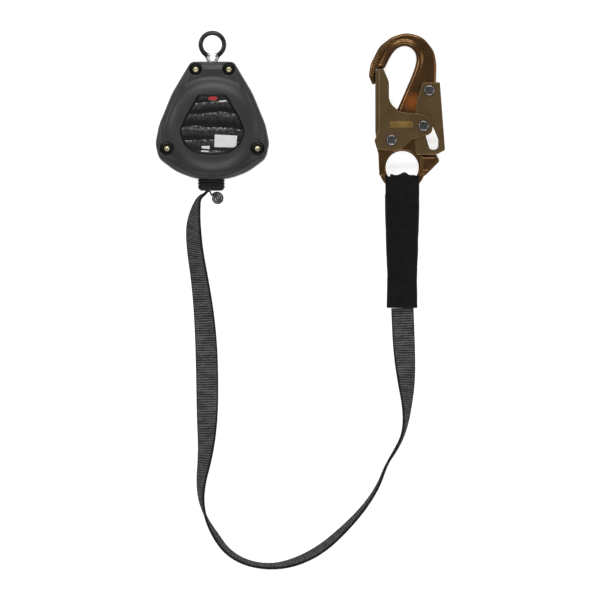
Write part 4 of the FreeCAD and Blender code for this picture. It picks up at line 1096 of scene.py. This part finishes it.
def sleeve_ring(y, wall, steps=96):
    """One level of the sleeve: a flattened tube whose sides are round, with soft uneven folds."""
    _, half, low, high = between(SLEEVE_STATIONS, y)
    half, low, high = half - wall, low + wall, high - wall
    ring = []
    for n in range(steps):
        angle = TAU * n / steps
        c, s = cos(angle), sin(angle)
        x = half * copysign(abs(c) ** 0.38, c)
        z = (high - low) / 2 * copysign(abs(s) ** 0.55, s)
        place = Vector((x * 60, y * 42, s * 1.5))
        ripple = noise.noise(place) * 0.0007 + noise.noise(place * 2.6) * 0.0003
        if s < -0.2:
            ripple = 0.0
        ring.append(Vector((HOOK.x + x + ripple * c * 0.6, y, (high + low) / 2 + z + ripple * max(s, 0))))
    return ring


def sleeve():
    top = SLEEVE_STATIONS[0][0]
    count = 110
    ys = [top + (SLEEVE_END - top) * n / count for n in range(count + 1)]
    outer = [sleeve_ring(y, 0.0) for y in ys]
    hem = [sleeve_ring(SLEEVE_END - 0.0004, SLEEVE_WALL * share) for share in (0.3, 0.8)]
    inner = [sleeve_ring(y, SLEEVE_WALL) for y in reversed(ys)]
    made = loft("sleeve_body", outer + hem + inner, closed=True)
    made = joined("sleeve", [made, sleeve_cap(), sleeve_flap()])
    cast(made, 0.0006, 2)
    finish_piece(made, "housing", "sleeve", "protective_sleeve", slot="sleeve")


def sleeve_cap():
    """The sleeve's closed end: a thick fold of cloth over the hook's eye bar, with a wavy top edge."""
    angles = [radians(-88 + 176 * n / 24) for n in range(25)]
    path = [(LOOP_Y + LOOP_RADIUS * cos(a), LOOP_MIDDLE + LOOP_RADIUS * sin(a)) for a in angles]
    path = [(FOLD_FOOT, 0.0006)] + path + [(FOLD_FOOT, 0.0196)]
    rings, columns, half = [], 60, 0.0102
    for n in range(columns + 1):
        u = -1 + 2 * n / columns
        wave = 0.0008 * sin(u * 5.2 + 0.9) + 0.001 * exp(-((u - 0.25) / 0.22) ** 2) - 0.0006 * u * u
        ring = []
        for thick in (0.0, SLEEVE_WALL):
            line = []
            for y, z in path:
                rise = max(0.0, (y - LOOP_Y) / LOOP_RADIUS)
                out = Vector((max(0.0, y - LOOP_Y), z - LOOP_MIDDLE))
                if out.length > 0:
                    out = out.normalized() * thick
                line.append(Vector((HOOK.x + u * half, y - out.x + wave * rise, z - out.y)))
            ring += line if thick == 0.0 else list(reversed(line))
        rings.append(ring)
    return loft("cap", rings)


def sleeve_flap(columns=64, rows=20):
    """The sleeve's front layer: it lies over the eye's arms and ends in a wavy edge inside the eye."""
    rings, half, upper, lower = [], 0.0146, 0.0199, 0.0187
    for n in range(columns + 1):
        u = -1 + 2 * n / columns
        edge = 0.001 * exp(-((u - 0.22) / 0.2) ** 2) - 0.0006 * sin(u * 7.0 + 0.4)
        top = HOOK.y - 0.0068 + edge
        over, under = [], []
        for k in range(rows + 1):
            share = k / rows
            y = FOLD_FOOT + (top - FOLD_FOOT) * share
            sag = 0.003 * max(0.0, 1 - (u / 0.62) ** 2) * share ** 3
            sag += 0.00025 * sin(u * 9 + share * 4)
            drop = 0.0006 * abs(u) ** 8
            # The corners are raised to stay clear of the hook's arms when it tilts.
            corner = min(1.0, max(0.0, (abs(u) - 0.62) / 0.16))
            sag -= 0.0019 * max(0.0, (share - 0.78) / 0.22) ** 1.2 * corner
            over.append(Vector((HOOK.x + u * half, y, upper - sag - drop)))
            under.append(Vector((HOOK.x + u * half, y, lower - sag + drop * 0.3)))
        rings.append(over + list(reversed(under)))
    return loft("flap", rings)


sleeve()


# ---------- floor, light and world
def studio():
    low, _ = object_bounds()
    size = 30.0
    floor = mesh_object("floor", [(-size, -size, 0), (size, -size, 0), (size, size, 0), (-size, size, 0)],
                        [(0, 1, 2, 3)], smooth=False)
    floor.location.z = min(low.z, 0.0) - 0.0002
    paint = Shader("floor", Roughness=0.9, Specular_IOR_Level=0.1, Emission_Color=grey(1.0),
                   Emission_Strength=0.74)
    paint.colour(paint.ramp(paint.noise(3, 2), [(0.3, grey(0.58)), (0.7, grey(0.62))]))
    floor.data.materials.append(paint.material)
    floor.visible_diffuse = False
    world = bpy.data.worlds.new("world")
    world.use_nodes = True
    sky = world.node_tree.nodes["Background"]
    sky.inputs["Color"].default_value = (1, 1, 1, 1)
    sky.inputs["Strength"].default_value = 0.34
    scene.world = world
    lights = (  # name, place, width, height, watts
        ("key", (0.1, 1.3, 1.3), 1.4, 0.5, 18), ("left", (-1.3, 0.45, 1.4), 0.25, 0.6, 7),
        ("right", (1.5, 0.1, 1.0), 0.5, 0.9, 4), ("front", (0.1, -1.2, 2.0), 1.4, 0.5, 18))
    for name, place, wide, tall, power in lights:
        data = bpy.data.lights.new(name, "AREA")
        data.shape = "RECTANGLE"
        data.size, data.size_y = wide, tall
        data.energy = power
        light = add_object(name, data)
        light.location = place
        light.visible_camera = False
        aim = VIEW_CENTRE - Vector(place)
        light.rotation_euler = aim.to_track_quat("-Z", "Y").to_euler()


studio()
